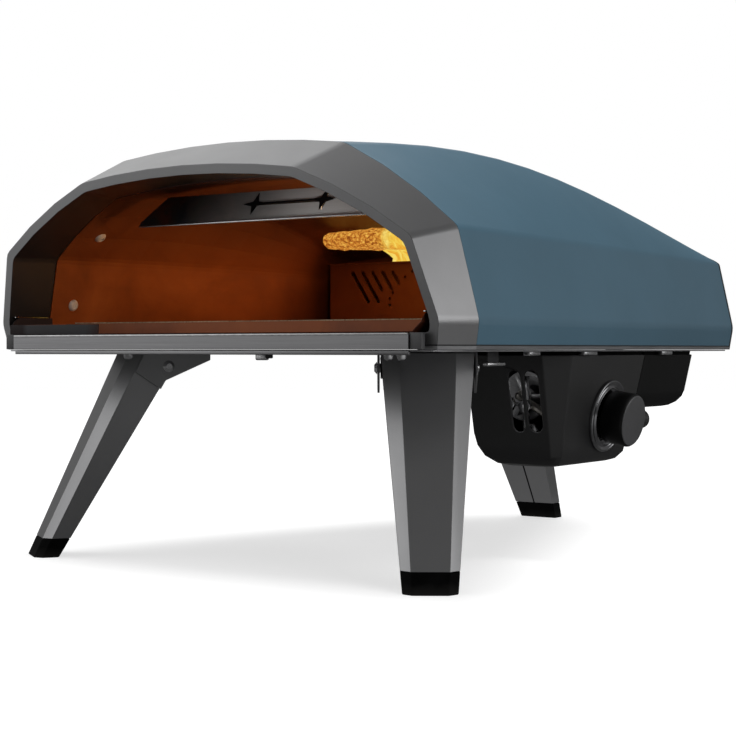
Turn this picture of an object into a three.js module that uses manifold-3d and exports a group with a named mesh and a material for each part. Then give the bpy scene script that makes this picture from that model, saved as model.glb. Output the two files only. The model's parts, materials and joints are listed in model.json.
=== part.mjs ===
// Portable gas pizza oven: a faceted, insulated sheet-steel body on three folding legs, with the burner along
// the back of the chamber and the gas controls hanging under the right side.
// Millimetres. +X is the cook's right, +Y runs from the mouth to the rear, +Z is up.
import * as THREE from "three";
import { mergeVertices } from "three/addons/utils/BufferGeometryUtils.js";
import Module from "manifold-3d";

const wasm = await Module();
wasm.setup();

// Shell: half outline of the front, from the underside up, and how it changes towards the tail
const shellWidth = 490;
const tailTaper = 18;
const shellLength = 555;
const baseHeight = 190;
const skirtRise = 23;
const skirtTurnIn = 4;
const creaseInset = 17.5;
const creaseTailInset = 15.5;
const creaseRise = 97;
const creaseTailRise = 91;
const crestWidth = 243;
const crestTailInset = 26;
const crestRise = 169;
const crestTailRise = 97;
const crestSwell = 21;
const crestSag = 7;
const crestReachShares = [0.36, 0.56];
const crown = 8;
const shoulderCrownShare = 0.035;
const seamLean = 0.052;
const seamBlend = 2.5;
const bendSize = 4;
const bendLimitShare = 0.45;
const sheet = 1;
const shellFlange = 14;
const tailWidth = shellWidth - 2 * tailTaper;
const creaseWidth = shellWidth - 2 * creaseInset;
const creaseTailWidth = tailWidth - 2 * creaseTailInset;
const crestTailWidth = tailWidth - 2 * crestTailInset;

// Visor: the dark frame in front of the shell, whose rim leans forwards at the top
const visorDepth = 45;
const rimInset = 9;
const rimCreaseInset = 18;
const rimCreaseRise = 87;
const rimCrestWidth = 228;
const rimCrestRise = 144;
const rimLean = 0.18;
const rimFace = 8;
const mouthCorner = 3;
const rimWidth = shellWidth - 2 * rimInset;
const rimCreaseWidth = rimWidth - 2 * rimCreaseInset;

// Sill and threshold, which close the mouth at the bottom
const sillHeight = 13;
const sillInset = 22;
const sillStep = 8;
const sillTopDepth = 20;
const sillHem = 9;
const thresholdRise = 16;
const thresholdCorner = 13;
const thresholdBend = 8;
const thresholdGap = 1.5;
const thresholdReach = 5;
const sillWidth = rimWidth - 2 * sillInset;

// Chamber: the inner liner with its stone, rails and front screws
const wallGap = 21;
const roofGap = 31;
const linerFloorRise = 8;
const linerLength = 426;
const linerLip = 16;
const stoneSideGap = 11;
const stoneThickness = 12;
const stoneGap = 4;
const railThickness = 4;
const railWidth = 24;
const screwHeadRadius = 4;
const screwHeadHeight = 2.4;
const screwShankRadius = 2;
const screwCrownShare = 0.55;
const stoneWidth = tailWidth - 2 * (wallGap + sheet + stoneSideGap);

// Deflector: the inclined panel behind the top of the mouth
const deflectorSetback = 19;
const deflectorLean = 18;
const deflectorDrop = 27;
const deflectorSheet = 1;
const deflectorFlange = 16;
const deflectorLip = 4;
const deflectorSideGap = 27;
const deflectorFlare = 20;
const deflectorScrewPitch = 92;
const slotDrop = 12;
const slotLineWidth = 2.6;
const slotStarReach = 9;
const slotStarWaist = 2.5;
const slotSpan = 76;
const slotOffset = 38;

// Insulation between shell and liner
const fibreGap = 1;
const fibreEndGap = 4;
const rearFibreDepth = 30;

// Base pan and rear panel
const panInset = 3;
const panThickness = 1.2;
const panBeadWidth = 14;
const panBeadRise = 1.4;
const panBeadLength = 150;
const panBeadPitch = 62;
const rearPanelThickness = 1.5;
const rearPanelGap = 0.4;
const louvreLength = 26;
const louvreHeight = 5;
const louvrePitch = 42;
const louvreRowPitch = 16;
const louvreCount = 7;
const louvreRows = 3;
const louvreRise = 30;

// Burner at the back of the chamber
const burnerTubeRadius = 11;
const burnerTubeWall = 1.5;
const burnerEndInset = 75;
const burnerTubeRise = 34;
const burnerTubeSetback = 14;
const portRadius = 2.2;
const portPitch = 18;
const feedRadius = 9;
const feedWall = 1.5;
const guardSetback = 36;
const guardSheet = 1.5;
const guardHeight = 86;
const guardInset = 67;
const guardHem = 5;
const guardFoot = 14;
const guardSlotWidth = 4.6;
const guardSlotHeight = 43;
const guardSlotPitch = 13.2;
const guardSlotTilt = THREE.MathUtils.degToRad(33.5);
const guardSlotDrop = 9;
const guardSlotShares = [1, 1, 0.64, 0.62, 0.45];
const guardGroupPitch = 92;
const guardGroups = 3;
const guardMargin = 29;
const guardHoleRadius = 1.9;
const guardHoleShares = [[3.84, 0.84], [3.82, 0.67], [4.14, 0.53], [5.35, 0.14], [6.02, 0], [6.8, 0]];
const probeRadius = 2;
const probeHeight = 34;
const probeCollarRadius = 4.5;
const probeCollarHeight = 14;
const probeSpacing = 18;
const burnerTubeLength = shellWidth - 2 * burnerEndInset;
const guardWidth = shellWidth - 2 * guardInset;

// Control housing under the right side
const housingFront = 232;
const housingLength = 171;
const housingInset = 27;
const housingWidth = 100;
const housingDrop = 104;
const housingTopChamfer = 20;
const housingLowChamfer = 6;
const housingInnerCorner = 30;
const housingOuterCorner = 12;
const housingWall = 2.5;
const housingTopGap = 1;
const frontLean = THREE.MathUtils.degToRad(12.5);
const sideLean = THREE.MathUtils.degToRad(9);
const tailLean = THREE.MathUtils.degToRad(7);
const housingOuter = shellWidth / 2 - housingInset;
const tailBoxLength = 112;
const tailBoxDrop = 55;
const tailBoxWidth = 76;
const tailBoxCorner = 16;
const grilleSlotWidths = [12, 14];
const grilleSlotGap = 4;
const grilleSlotHeight = 56;
const grilleSlotEdge = 7;
const grilleSlotDrop = 16;

// Gas train in the housing
const venturiMouthRadius = 23;
const venturiThroatRadius = 10;
const venturiWall = 1.6;
const elbowShare = 1.1;
const venturiBellLength = 26;
const venturiMouthSetback = 36;
const bellSteps = 3;
const venturiDrop = 40;
const riserBend = 22;
const riserSteps = 9;
const spiderArm = 4;
const spiderHub = 7;
const spiderTurns = [0, 120, 240].map(THREE.MathUtils.degToRad);
const valveLength = 44;
const valveHeight = 30;
const valveDepth = 22;
const valveBoss = 9;
const valveBossRadius = 9;
const injectorRadius = 3.5;
const injectorAhead = 11;
const injectorHexRadius = 6.4;
const injectorHexLength = 9;
const supplyRadius = 4;
const supplyBend = 5;
const inletRadius = 9.4;
const inletLength = 47;
const inletHexRadius = 8;
const inletHexLength = 12;
const inletBore = 4;
const inletInset = 12;
const inletDrop = 66;

// Control dial
const dialSetback = 106;
const dialDrop = 59;
const dialReach = 29;
const dialCapRadius = 25;
const dialWaistRadius = 22;
const dialSkirtRadius = 24.5;
const dialCapLength = 9;
const dialSkirtLength = 5;
const dialStandOff = 6;
const dialEdge = 1.4;
const dialPointerWidth = 3;
const dialPointerDepth = 0.8;
const bezelRadius = 34;
const bezelLip = 4;
const bezelPlate = 2;
const stemRadius = 4;
const stemFlat = 1.2;
const stemCover = 10;
const plugRadius = 8;
const plugGrip = 8;

// Legs, in each leg's own frame: u inboard, v along the hinge pin, z up, from the middle of its foot
const footInset = 33;
const frontFootSetback = 26;
const rearFootReach = 0;
const splayAngle = THREE.MathUtils.degToRad(34);
const pivotDrop = 14;
const pivotInset = 5;
const legRun = 103;
const legFootDepth = 22;
const legTopDepth = 44;
const legFootWidth = 44;
const legTopWidth = 76;
const legFootFace = 29;
const legTopFace = 46;
const legFootChamfer = 7;
const legTopChamfer = 10;
const legSheet = 1.6;
const legSeam = 1.6;
const legOpenRise = 38;
const legTopGap = 1.2;
const earRadius = 9;
const pinRadius = 4;
const pinHeadRadius = 5.5;
const pinHeadHeight = 2.4;
const footHeight = 17;
const footGrip = 14;
const bracketSheet = 2;
const bracketReach = 40;
const bracketFrontDrop = 5;
const bracketKneeDrop = 13;
const bracketTipDrop = 8;
const footSpread = shellWidth / 2 - footInset;

// Clearances
const fit = 0.3;
const runningFit = 0.6;
const pinFit = 0.1;
const overrun = 20;
const weld = 1e-4;

// Facet counts
const bendSteps = 2;
const crownSteps = 6;
const shoulderSteps = 3;
const stationCount = 11;
const arcSteps = 3;
const slotSteps = 1;
const tubSteps = 4;
const roundSides = 24;
const smallSides = 12;
const screwSides = 8;
const hexSides = 6;
const starPoints = 4;

const colours = {
  slate: 0x4a6373,
  charcoal: 0x55565a,
  steel: 0x8d8f92,
  galvanised: 0x9a9c9c,
  tinted: 0x6b2c12,
  stone: 0xb9a88e,
  fibre: 0xe9e6df,
  black: 0x17181a,
  rubber: 0x0c0c0d,
  brass: 0xb08d45,
  chrome: 0xc9cbce,
  graphite: 0x3a3b3d,
};
const finish = (color, roughness, metalness) =>
  new THREE.MeshStandardMaterial({ color, roughness, metalness });
const materials = {
  shellPaint: finish(colours.slate, 0.45, 0.25),
  visorPaint: finish(colours.charcoal, 0.42, 0.4),
  sillSteel: finish(colours.steel, 0.32, 0.9),
  panSteel: finish(colours.galvanised, 0.4, 0.85),
  linerSteel: finish(colours.tinted, 0.5, 0.6),
  stone: finish(colours.stone, 0.9, 0),
  fibre: finish(colours.fibre, 0.95, 0),
  moulding: finish(colours.black, 0.55, 0),
  rubber: finish(colours.rubber, 0.8, 0),
  legPaint: finish(colours.graphite, 0.38, 0.6),
  brass: finish(colours.brass, 0.35, 0.9),
  chrome: finish(colours.chrome, 0.15, 1),
  rearPaint: finish(colours.black, 0.6, 0.2),
};

// Solids

function solid(geometry) {
  const bare = geometry.index ? geometry.toNonIndexed() : geometry.clone();
  for (const name of Object.keys(bare.attributes)) if (name !== "position") bare.deleteAttribute(name);
  const welded = mergeVertices(bare, weld);
  return new wasm.Manifold(
    new wasm.Mesh({
      numProp: 3,
      vertProperties: welded.attributes.position.array,
      triVerts: new Uint32Array(welded.index.array),
    }),
  );
}

function join(...solids) {
  return solids.reduce((whole, piece) => whole.add(piece));
}

function cut(body, ...tools) {
  return tools.reduce((rest, tool) => rest.subtract(tool), body);
}

function piece(name, body, material) {
  const { vertProperties, triVerts } = body.getMesh();
  const geometry = new THREE.BufferGeometry();
  geometry.setAttribute("position", new THREE.BufferAttribute(vertProperties, 3));
  geometry.setIndex(new THREE.BufferAttribute(triVerts, 1));
  geometry.computeVertexNormals();
  const mesh = new THREE.Mesh(geometry, material);
  mesh.name = name;
  return mesh;
}

function block(low, high) {
  const size = high.map((value, axis) => value - low[axis]);
  const middle = high.map((value, axis) => (value + low[axis]) / 2);
  return solid(new THREE.BoxGeometry(...size).translate(...middle));
}

// A rod between two points, or a cone where a second radius is given.
function rod(from, to, radius, sides = smallSides, endRadius = radius) {
  const start = new THREE.Vector3(...from);
  const along = new THREE.Vector3(...to).sub(start);
  const geometry = new THREE.CylinderGeometry(endRadius, radius, along.length(), sides);
  geometry.translate(0, along.length() / 2, 0);
  const turn = new THREE.Quaternion().setFromUnitVectors(new THREE.Vector3(0, 1, 0), along.normalize());
  return solid(geometry.applyQuaternion(turn).translate(...from));
}

function shapeOf(outline) {
  if (outline instanceof THREE.Shape) return outline;
  return new THREE.Shape(outline.map(([a, b]) => new THREE.Vector2(a, b)));
}

function prism(outline, length, basis, start, curveSegments = arcSteps) {
  const options = { depth: length, bevelEnabled: false, curveSegments };
  const geometry = new THREE.ExtrudeGeometry(shapeOf(outline), options);
  const matrix = new THREE.Matrix4().makeBasis(...basis.map((axis) => new THREE.Vector3(...axis)));
  return solid(geometry.applyMatrix4(matrix).translate(...start));
}

// Outlines in x and z, y and z, or x and y, pushed along the axis that is left.
const facePlate = (outline, from, to, steps) =>
  prism(outline, to - from, [[1, 0, 0], [0, 0, 1], [0, -1, 0]], [0, to, 0], steps);
const sidePlate = (outline, from, to) =>
  prism(outline, to - from, [[0, 1, 0], [0, 0, 1], [1, 0, 0]], [from, 0, 0]);
const planPlate = (outline, from, to) =>
  prism(outline, to - from, [[1, 0, 0], [0, 1, 0], [0, 0, 1]], [0, 0, from]);

// A profile of radius and height, turned about +Z.
function turned(profile, sides = roundSides) {
  const points = profile.map(([radius, height]) => new THREE.Vector2(radius, height));
  return facingOut(new THREE.LatheGeometry(points, sides).rotateX(Math.PI / 2));
}

// A skin through rings of equal count, closed at both ends.
function loft(rings) {
  const count = rings[0].length;
  const positions = rings.flat().flatMap((point) => [point.x, point.y, point.z]);
  const flat = rings[0].map((point) => new THREE.Vector2(point.x, point.z));
  const spread = new THREE.Box2().setFromPoints(flat).getSize(new THREE.Vector2());
  const level = spread.y < weld;
  const capPoints = rings[0].map((point) => new THREE.Vector2(point.x, level ? point.y : point.z));
  const clockwise = THREE.ShapeUtils.isClockWise(capPoints);
  const cap = THREE.ShapeUtils.triangulateShape(capPoints, []);
  const last = (rings.length - 1) * count;
  const index = [];
  for (const [a, b, c] of cap) {
    const [second, third] = clockwise ? [b, c] : [c, b];
    index.push(a, second, third, last + a, last + third, last + second);
  }
  for (let ring = 0; ring < rings.length - 1; ring++) {
    for (let i = 0; i < count; i++) {
      const next = (i + 1) % count;
      const here = ring * count;
      index.push(here + i, here + next, here + count + next, here + i, here + count + next, here + count + i);
    }
  }
  const geometry = new THREE.BufferGeometry();
  geometry.setAttribute("position", new THREE.Float32BufferAttribute(positions, 3));
  geometry.setIndex(index);
  return facingOut(geometry);
}

// The solid of an indexed geometry, whichever way its profile or rings ran.
function facingOut(geometry) {
  const made = solid(geometry);
  if (made.volume() > 0) return made;
  const index = [...geometry.index.array];
  for (let i = 0; i < index.length; i += 3) [index[i], index[i + 2]] = [index[i + 2], index[i]];
  geometry.setIndex(index);
  return solid(geometry);
}

// Outlines

// A slot with round ends, long along its tilt from upright.
function slotShape(x, z, width, height, tilt = 0) {
  const reach = (height - width) / 2;
  const top = [x + reach * Math.sin(tilt), z + reach * Math.cos(tilt)];
  const foot = [x - reach * Math.sin(tilt), z - reach * Math.cos(tilt)];
  const shape = new THREE.Shape();
  shape.absarc(...top, width / 2, -tilt, Math.PI - tilt, false);
  shape.absarc(...foot, width / 2, Math.PI - tilt, 2 * Math.PI - tilt, false);
  return shape;
}

// The outline of a folded sheet: an open line, with the sheet's thickness on its left.
function folded(line, thickness) {
  const points = line.map(([a, b]) => new THREE.Vector2(a, b));
  const ways = points.slice(1).map((point, i) => point.clone().sub(points[i]).normalize());
  const normals = ways.map((way) => new THREE.Vector2(-way.y, way.x));
  const inner = points.map((point, i) => {
    const before = normals[Math.max(0, i - 1)];
    const after = normals[Math.min(normals.length - 1, i)];
    const bisector = before.clone().add(after).normalize();
    return point.clone().addScaledVector(bisector, thickness / bisector.dot(after));
  });
  return [...points, ...inner.reverse()].map((point) => [point.x, point.y]);
}

// Moves each side of a closed outline inwards by its own distance.
function inset(corners, distances) {
  const count = corners.length;
  const lines = corners.map((corner, i) => {
    const along = corners[(i + 1) % count].clone().sub(corner).normalize();
    const inwards = new THREE.Vector2(-along.y, along.x);
    return { from: corner.clone().addScaledVector(inwards, distances[i]), along };
  });
  return lines.map((line, i) => {
    const before = lines[(i + count - 1) % count];
    const across = before.along.cross(line.along);
    if (Math.abs(across) < weld) return line.from;
    const gap = line.from.clone().sub(before.from);
    return before.from.clone().addScaledVector(before.along, gap.cross(line.along) / across);
  });
}

// Rounds the corners that have a size, no further than their sides allow, with equal numbers of points.
function rounded(corners, sizes) {
  const count = corners.length;
  return corners.flatMap((corner, i) => {
    if (!sizes[i]) return [corner];
    const before = corners[(i + count - 1) % count];
    const after = corners[(i + 1) % count];
    const shorter = Math.min(corner.distanceTo(before), corner.distanceTo(after));
    const size = Math.min(sizes[i], bendLimitShare * shorter);
    const towards = (other) => {
      const way = other.clone().sub(corner);
      return corner.clone().addScaledVector(way.normalize(), size);
    };
    return new THREE.QuadraticBezierCurve(towards(before), corner, towards(after)).getPoints(bendSteps);
  });
}

// The body's faceted arch, counter-clockwise from its lower right corner, with a crowned top and shoulders.
const sideBends = ["foot", "skirt", "crease"];
const creasePlace = sideBends.indexOf("crease");
const crestPlace = creasePlace + shoulderSteps;
const crownShare = (share) => 1 - (2 * share - 1) ** 2;

// The points between two corners of the arch, on a shoulder that swells outwards with its length.
function shoulder(from, to) {
  const along = to.clone().sub(from);
  const swell = new THREE.Vector2(along.y, -along.x).multiplyScalar(shoulderCrownShare);
  const shares = Array.from({ length: shoulderSteps - 1 }, (_, i) => (i + 1) / shoulderSteps);
  return shares.map((share) => from.clone().lerp(to, share).addScaledVector(swell, crownShare(share)));
}

function archCorners(bends, crownRise) {
  const right = sideBends.map((name) => new THREE.Vector2(...bends[name]));
  const crest = new THREE.Vector2(...bends.crest);
  right.push(...shoulder(right[creasePlace], crest), crest);
  const { x: crestHalf, y: crestHeight } = crest;
  const top = [];
  for (let step = 1; step < crownSteps; step++) {
    const share = step / crownSteps;
    const swell = crownRise * crownShare(share);
    top.push(new THREE.Vector2(crestHalf * (1 - 2 * share), crestHeight + swell));
  }
  const left = right.map((corner) => new THREE.Vector2(-corner.x, corner.y)).reverse();
  return [...right, ...top, ...left];
}

// The arch with its walls and floor moved in, each by its own distance.
function insetSides(corners, wall, floor, roof = wall, roofPlace = crestPlace) {
  const lastSide = corners.length - 1;
  const distances = corners.map((_, i) => {
    if (i === lastSide) return floor;
    return i >= roofPlace && i < roofPlace + crownSteps ? roof : wall;
  });
  return inset(corners, distances);
}

// The arch moved in. Where the roof has its own distance, the shoulders are drawn again between their ends.
function insetArch(corners, { wall, roof = wall, floor = wall }) {
  if (roof === wall) return insetSides(corners, wall, floor);
  const plain = corners.filter((_, i) => {
    const fromEnd = Math.min(i, corners.length - 1 - i);
    return fromEnd <= creasePlace || fromEnd >= crestPlace;
  });
  const roofPlace = creasePlace + 1;
  const moved = insetSides(plain, wall, floor, roof, roofPlace);
  const starts = [creasePlace, roofPlace + crownSteps];
  const after = (i) => (starts.includes(i) ? shoulder(moved[i], moved[i + 1]) : []);
  return moved.flatMap((corner, i) => [corner, ...after(i)]);
}

// Draws an arch as a ring with small bends at its corners.
function archRing(corners, insets, depthAt, size = bendSize, footSize = 0) {
  const bends = corners.map((_, i) => {
    const fromEnd = Math.min(i, corners.length - 1 - i);
    if (fromEnd === 0) return footSize;
    return fromEnd <= creasePlace || fromEnd === crestPlace ? size : 0;
  });
  const outline = rounded(insetArch(corners, insets), bends);
  return outline.map((point) => new THREE.Vector3(point.x, depthAt(point.y), point.y));
}

const level = (depth) => () => depth;
const mix = THREE.MathUtils.lerp;
const shellFront = visorDepth;
const shellRear = shellFront + shellLength;
const skirtLevel = baseHeight + skirtRise;

// The crest's profile in side view: it swells behind the visor, then falls in an arc to the tail.
const crestLine = new THREE.CubicBezierCurve(
  new THREE.Vector2(0, crestRise),
  new THREE.Vector2(crestReachShares[0] * shellLength, crestRise + crestSwell),
  new THREE.Vector2(crestReachShares[1] * shellLength, crestRise - crestSag),
  new THREE.Vector2(shellLength, crestTailRise),
);

function shellCorners(station) {
  const { x: depth, y: rise } = crestLine.getPoint(station);
  const share = depth / shellLength;
  const skirtHalf = mix(shellWidth, tailWidth, share) / 2;
  const bends = {
    foot: [skirtHalf - skirtTurnIn, baseHeight],
    skirt: [skirtHalf, skirtLevel],
    crease: [
      mix(creaseWidth, creaseTailWidth, share) / 2,
      baseHeight + mix(creaseRise, creaseTailRise, share),
    ],
    crest: [mix(crestWidth, crestTailWidth, share) / 2, baseHeight + rise],
  };
  return { depth: shellFront + depth, corners: archCorners(bends, crown) };
}

const stations = Array.from({ length: stationCount + 1 }, (_, i) => shellCorners(i / stationCount));

// The arch at any depth behind the visor, found between the two nearest stations.
function archAt(depth) {
  const after = Math.max(1, stations.findIndex((station) => station.depth >= depth));
  const [near, far] = [stations[after - 1], stations[after]];
  const share = (depth - near.depth) / (far.depth - near.depth);
  return near.corners.map((corner, i) => corner.clone().lerp(far.corners[i], share));
}

// Rings from one depth to another that follow the shell, with the end rings pushed on by overruns.
function shellRings(from, to, insets, frontOverrun = 0, rearOverrun = 0, size = bendSize) {
  const inside = (depth) => depth > from + fit && depth < to - fit;
  const between = stations.map((station) => station.depth).filter(inside);
  const depths = [from, ...between, to];
  const rings = depths.map((depth) => archRing(archAt(depth), insets, level(depth), size));
  if (frontOverrun) rings.unshift(rings[0].map((point) => point.clone().setY(point.y - frontOverrun)));
  if (rearOverrun) rings.push(rings[rings.length - 1].map((point) => point.clone().setY(to + rearOverrun)));
  return rings;
}

// The same rings, begun behind the visor's leaning seam.
function ringsBehindSeam(to, insets, frontOverrun = 0, rearOverrun = 0) {
  const front = archRing(archAt(shellFront + fit), insets, (height) => seamDepth(height) + fit);
  const rings = [front, ...shellRings(shellFront + seamBlend, to, insets, 0, rearOverrun)];
  if (frontOverrun) rings.unshift(front.map((point) => point.clone().setY(point.y - frontOverrun)));
  return rings;
}

const rimBends = {
  foot: [rimWidth / 2 - skirtTurnIn, baseHeight],
  skirt: [rimWidth / 2, skirtLevel],
  crease: [rimCreaseWidth / 2, baseHeight + rimCreaseRise],
  crest: [rimCrestWidth / 2, baseHeight + rimCrestRise],
};
const rimCorners = archCorners(rimBends, crown);
const rimDepth = (height) => -rimLean * (height - skirtLevel);
const seamDepth = (height) => shellFront - seamLean * (height - skirtLevel);
const noInset = { wall: 0 };
const sheetInset = { wall: sheet };
const chamberInset = (more) => ({ wall: wallGap + more, roof: roofGap + more, floor: linerFloorRise + more });
const sillLevel = baseHeight + sillHeight;
const linerFloor = baseHeight + linerFloorRise;
const linerFront = shellFront + fit;
const linerRear = linerFront + linerLength;
const guardFront = linerRear - sheet - guardSetback;

// Body shells

function outerShell() {
  const front = shellFront + fit;
  const openFloor = { wall: shellFlange, floor: -overrun };
  const skin = loft(ringsBehindSeam(shellRear, noInset));
  const hollow = loft(ringsBehindSeam(shellRear, sheetInset, overrun, overrun));
  const mouth = loft(ringsBehindSeam(shellRear, openFloor, overrun, overrun));
  return cut(skin, hollow, mouth);
}

// The hollow frame round the mouth: outer skin, leaning rim and inner skin, open to the rear.
function visor() {
  const rear = shellCorners(0).corners;
  const ahead = (height) => rimDepth(height) - overrun;
  const behind = (height) => rimDepth(height) + sheet;
  const skin = loft([archRing(rimCorners, noInset, rimDepth), archRing(rear, noInset, seamDepth)]);
  const mouthRings = (thinner) => {
    const floor = sillHeight - thinner;
    const atRim = { wall: rimFace - thinner, floor };
    const atShell = { wall: wallGap - thinner, roof: roofGap - thinner, floor };
    return [
      archRing(rimCorners, atRim, rimDepth, bendSize, mouthCorner),
      archRing(rear, atShell, level(shellFront), bendSize, mouthCorner),
    ];
  };
  const [rimRing, rearRing] = mouthRings(0);
  const mouth = loft([
    rimRing.map((point) => point.clone().setY(ahead(point.z))),
    rimRing,
    rearRing,
    rearRing.map((point) => point.clone().setY(shellFront + overrun)),
  ]);
  const core = loft([
    archRing(rimCorners, sheetInset, behind),
    archRing(rear, sheetInset, level(shellFront + overrun)),
  ]);
  const innerSkin = mouthRings(sheet);
  const kept = loft([
    innerSkin[0].map((point) => point.clone().setY(ahead(point.z))),
    innerSkin[0],
    innerSkin[1],
    innerSkin[1].map((point) => point.clone().setY(shellFront + 2 * overrun)),
  ]);
  const half = sillWidth / 2;
  const sillNotch = block(
    [-half, -overrun, baseHeight - overrun],
    [half, shellFront + overrun, sillLevel + sheet],
  );
  return cut(skin, mouth, core.subtract(kept), sillNotch);
}

// A folded strip: top flange, front face and a hem turned back under the floor.
function sill() {
  const front = -sillStep;
  const half = sillWidth / 2 - fit;
  const low = baseHeight + fit;
  const high = sillLevel - fit;
  const line = [[front + sillTopDepth, high], [front, high], [front, low], [front + sillHem, low]];
  return sidePlate(folded(line, sheet), -half, half);
}

// A folded tray over the visor's floor, with side wings whose front top corners are rounded.
function threshold() {
  const floorFront = sillTopDepth - sillStep + fit;
  const front = rimDepth(sillLevel) - thresholdReach;
  const rear = shellFront - fit;
  const low = sillLevel + fit;
  const high = low + thresholdRise;
  const frontHalf = rimWidth / 2 - skirtTurnIn - rimFace - thresholdGap;
  const rearHalf = shellWidth / 2 - skirtTurnIn - wallGap - thresholdGap;
  const ring = (depth, half) => {
    const left = [[-half, high], [-half, low + thresholdBend], [thresholdBend - half, low]];
    const right = left.map(([x, z]) => [-x, z]).reverse();
    return folded([...left, ...right], sheet).map(([x, z]) => new THREE.Vector3(x, depth, z));
  };
  const tray = loft([ring(front, frontHalf), ring(rear, rearHalf)]);
  const floorHalf = Math.min(frontHalf, rearHalf) - thresholdBend;
  const frontCut = block(
    [-floorHalf, front - overrun, low - overrun],
    [floorHalf, floorFront, high + overrun],
  );
  const corner = new THREE.Shape();
  corner.moveTo(front - overrun, high + overrun);
  corner.lineTo(front - overrun, high - thresholdCorner);
  corner.lineTo(front, high - thresholdCorner);
  corner.absarc(front + thresholdCorner, high - thresholdCorner, thresholdCorner, Math.PI, Math.PI / 2, true);
  corner.lineTo(front + thresholdCorner, high + overrun);
  return cut(tray, frontCut, sidePlate(corner, -rimWidth, rimWidth));
}

function basePan() {
  const front = panInset;
  const rear = shellRear - panInset;
  const frontHalf = rimWidth / 2 - skirtTurnIn - panInset;
  const shellHalf = shellWidth / 2 - skirtTurnIn - panInset;
  const tailHalf = tailWidth / 2 - skirtTurnIn - panInset;
  const right = [[frontHalf, front], [shellHalf, shellFront], [tailHalf, rear]];
  const left = right.map(([x, y]) => [-x, y]).reverse();
  const top = baseHeight - fit;
  const plate = planPlate([...right, ...left], top - panThickness, top);
  const middle = (front + rear) / 2;
  const beads = [-1, 0, 1].map((place) =>
    block(
      [place * panBeadPitch - panBeadWidth / 2, middle - panBeadLength / 2, top - panThickness - panBeadRise],
      [place * panBeadPitch + panBeadWidth / 2, middle + panBeadLength / 2, top - panThickness / 2],
    ),
  );
  const feed = rod(
    [feedX, feedY, top - overrun],
    [feedX, feedY, top + overrun],
    feedRadius + runningFit,
  );
  return cut(join(plate, ...beads), feed);
}

// The tail cap, with rows of air slots that feed the burner.
function rearPanel() {
  const tail = stations[stationCount].corners;
  const ring = (depth) => archRing(tail, noInset, level(depth));
  const front = shellRear + rearPanelGap;
  const plate = loft([ring(front), ring(front + rearPanelThickness)]);
  const slots = [];
  for (let row = 0; row < louvreRows; row++) {
    for (let i = 0; i < louvreCount; i++) {
      const x = (i - (louvreCount - 1) / 2) * louvrePitch;
      const z = baseHeight + louvreRise + row * louvreRowPitch;
      const slot = slotShape(x, z, louvreHeight, louvreLength, Math.PI / 2);
      slots.push(facePlate(slot, front - overrun, front + overrun, slotSteps));
    }
  }
  return cut(plate, ...slots);
}

// Chamber

function liner() {
  const skin = loft(ringsBehindSeam(linerRear, chamberInset(0)));
  const hollow = loft(ringsBehindSeam(linerRear - sheet, chamberInset(sheet), overrun));
  const half = shellWidth / 2 - skirtTurnIn - 2 * wallGap;
  const lipFront = seamDepth(linerFloor) + fit;
  const lip = block(
    [-half, lipFront, linerFloor + weld],
    [half, lipFront + sheet, linerFloor + linerLip],
  );
  const feed = rod(
    [feedX, feedY, linerFloor - overrun],
    [feedX, feedY, linerFloor + sheet + weld],
    feedRadius + runningFit,
  );
  return cut(join(cut(skin, hollow), lip), feed);
}

const stoneFront = linerFront + sheet + stoneGap;
const stoneRear = guardFront - guardFoot - stoneGap;
const stoneBottom = linerFloor + sheet + railThickness;

function bakingStone() {
  const half = stoneWidth / 2;
  return block([-half, stoneFront, stoneBottom + fit], [half, stoneRear, stoneBottom + stoneThickness]);
}

function stoneRail(side) {
  const outer = side * (stoneWidth / 2 - railWidth / 2);
  const inner = outer - side * railWidth;
  const [a, b] = [outer, inner].sort((m, n) => m - n);
  return block([a, stoneFront, linerFloor + sheet + fit], [b, stoneRear, stoneBottom]);
}

// The panel that keeps the flame inside: a flange under the roof, a leaning face and a hemmed lower lip.
const deflectorFoot = shellFront + deflectorSetback;
const deflectorHead = deflectorFoot + deflectorLean;
const deflectorRoof = insetArch(archAt(deflectorHead), chamberInset(sheet + fit))[crestPlace];
const deflectorTop = deflectorRoof.y;

function deflector() {
  const low = deflectorTop - deflectorDrop;
  const topHalf = deflectorRoof.x - deflectorSideGap;
  const lowHalf = topHalf + deflectorFlare;
  const line = [
    [deflectorHead + deflectorFlange, deflectorTop],
    [deflectorHead, deflectorTop],
    [deflectorFoot, low],
    [deflectorFoot + deflectorLip, low],
  ];
  const panel = sidePlate(folded(line, deflectorSheet), -lowHalf, lowHalf);
  const corner = [[lowHalf, low + deflectorLip], [topHalf, deflectorTop], [topHalf, deflectorTop + overrun]];
  const rightCut = [
    ...corner,
    [lowHalf + overrun, deflectorTop + overrun],
    [lowHalf + overrun, low + deflectorLip],
  ];
  const leftCut = rightCut.map(([x, z]) => [-x, z]);
  const ends = [rightCut, leftCut].map((outline) => facePlate(outline, shellFront, shellRear));
  return cut(panel, ...ends, starSlot(), ...deflectorScrewHoles());
}

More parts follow.
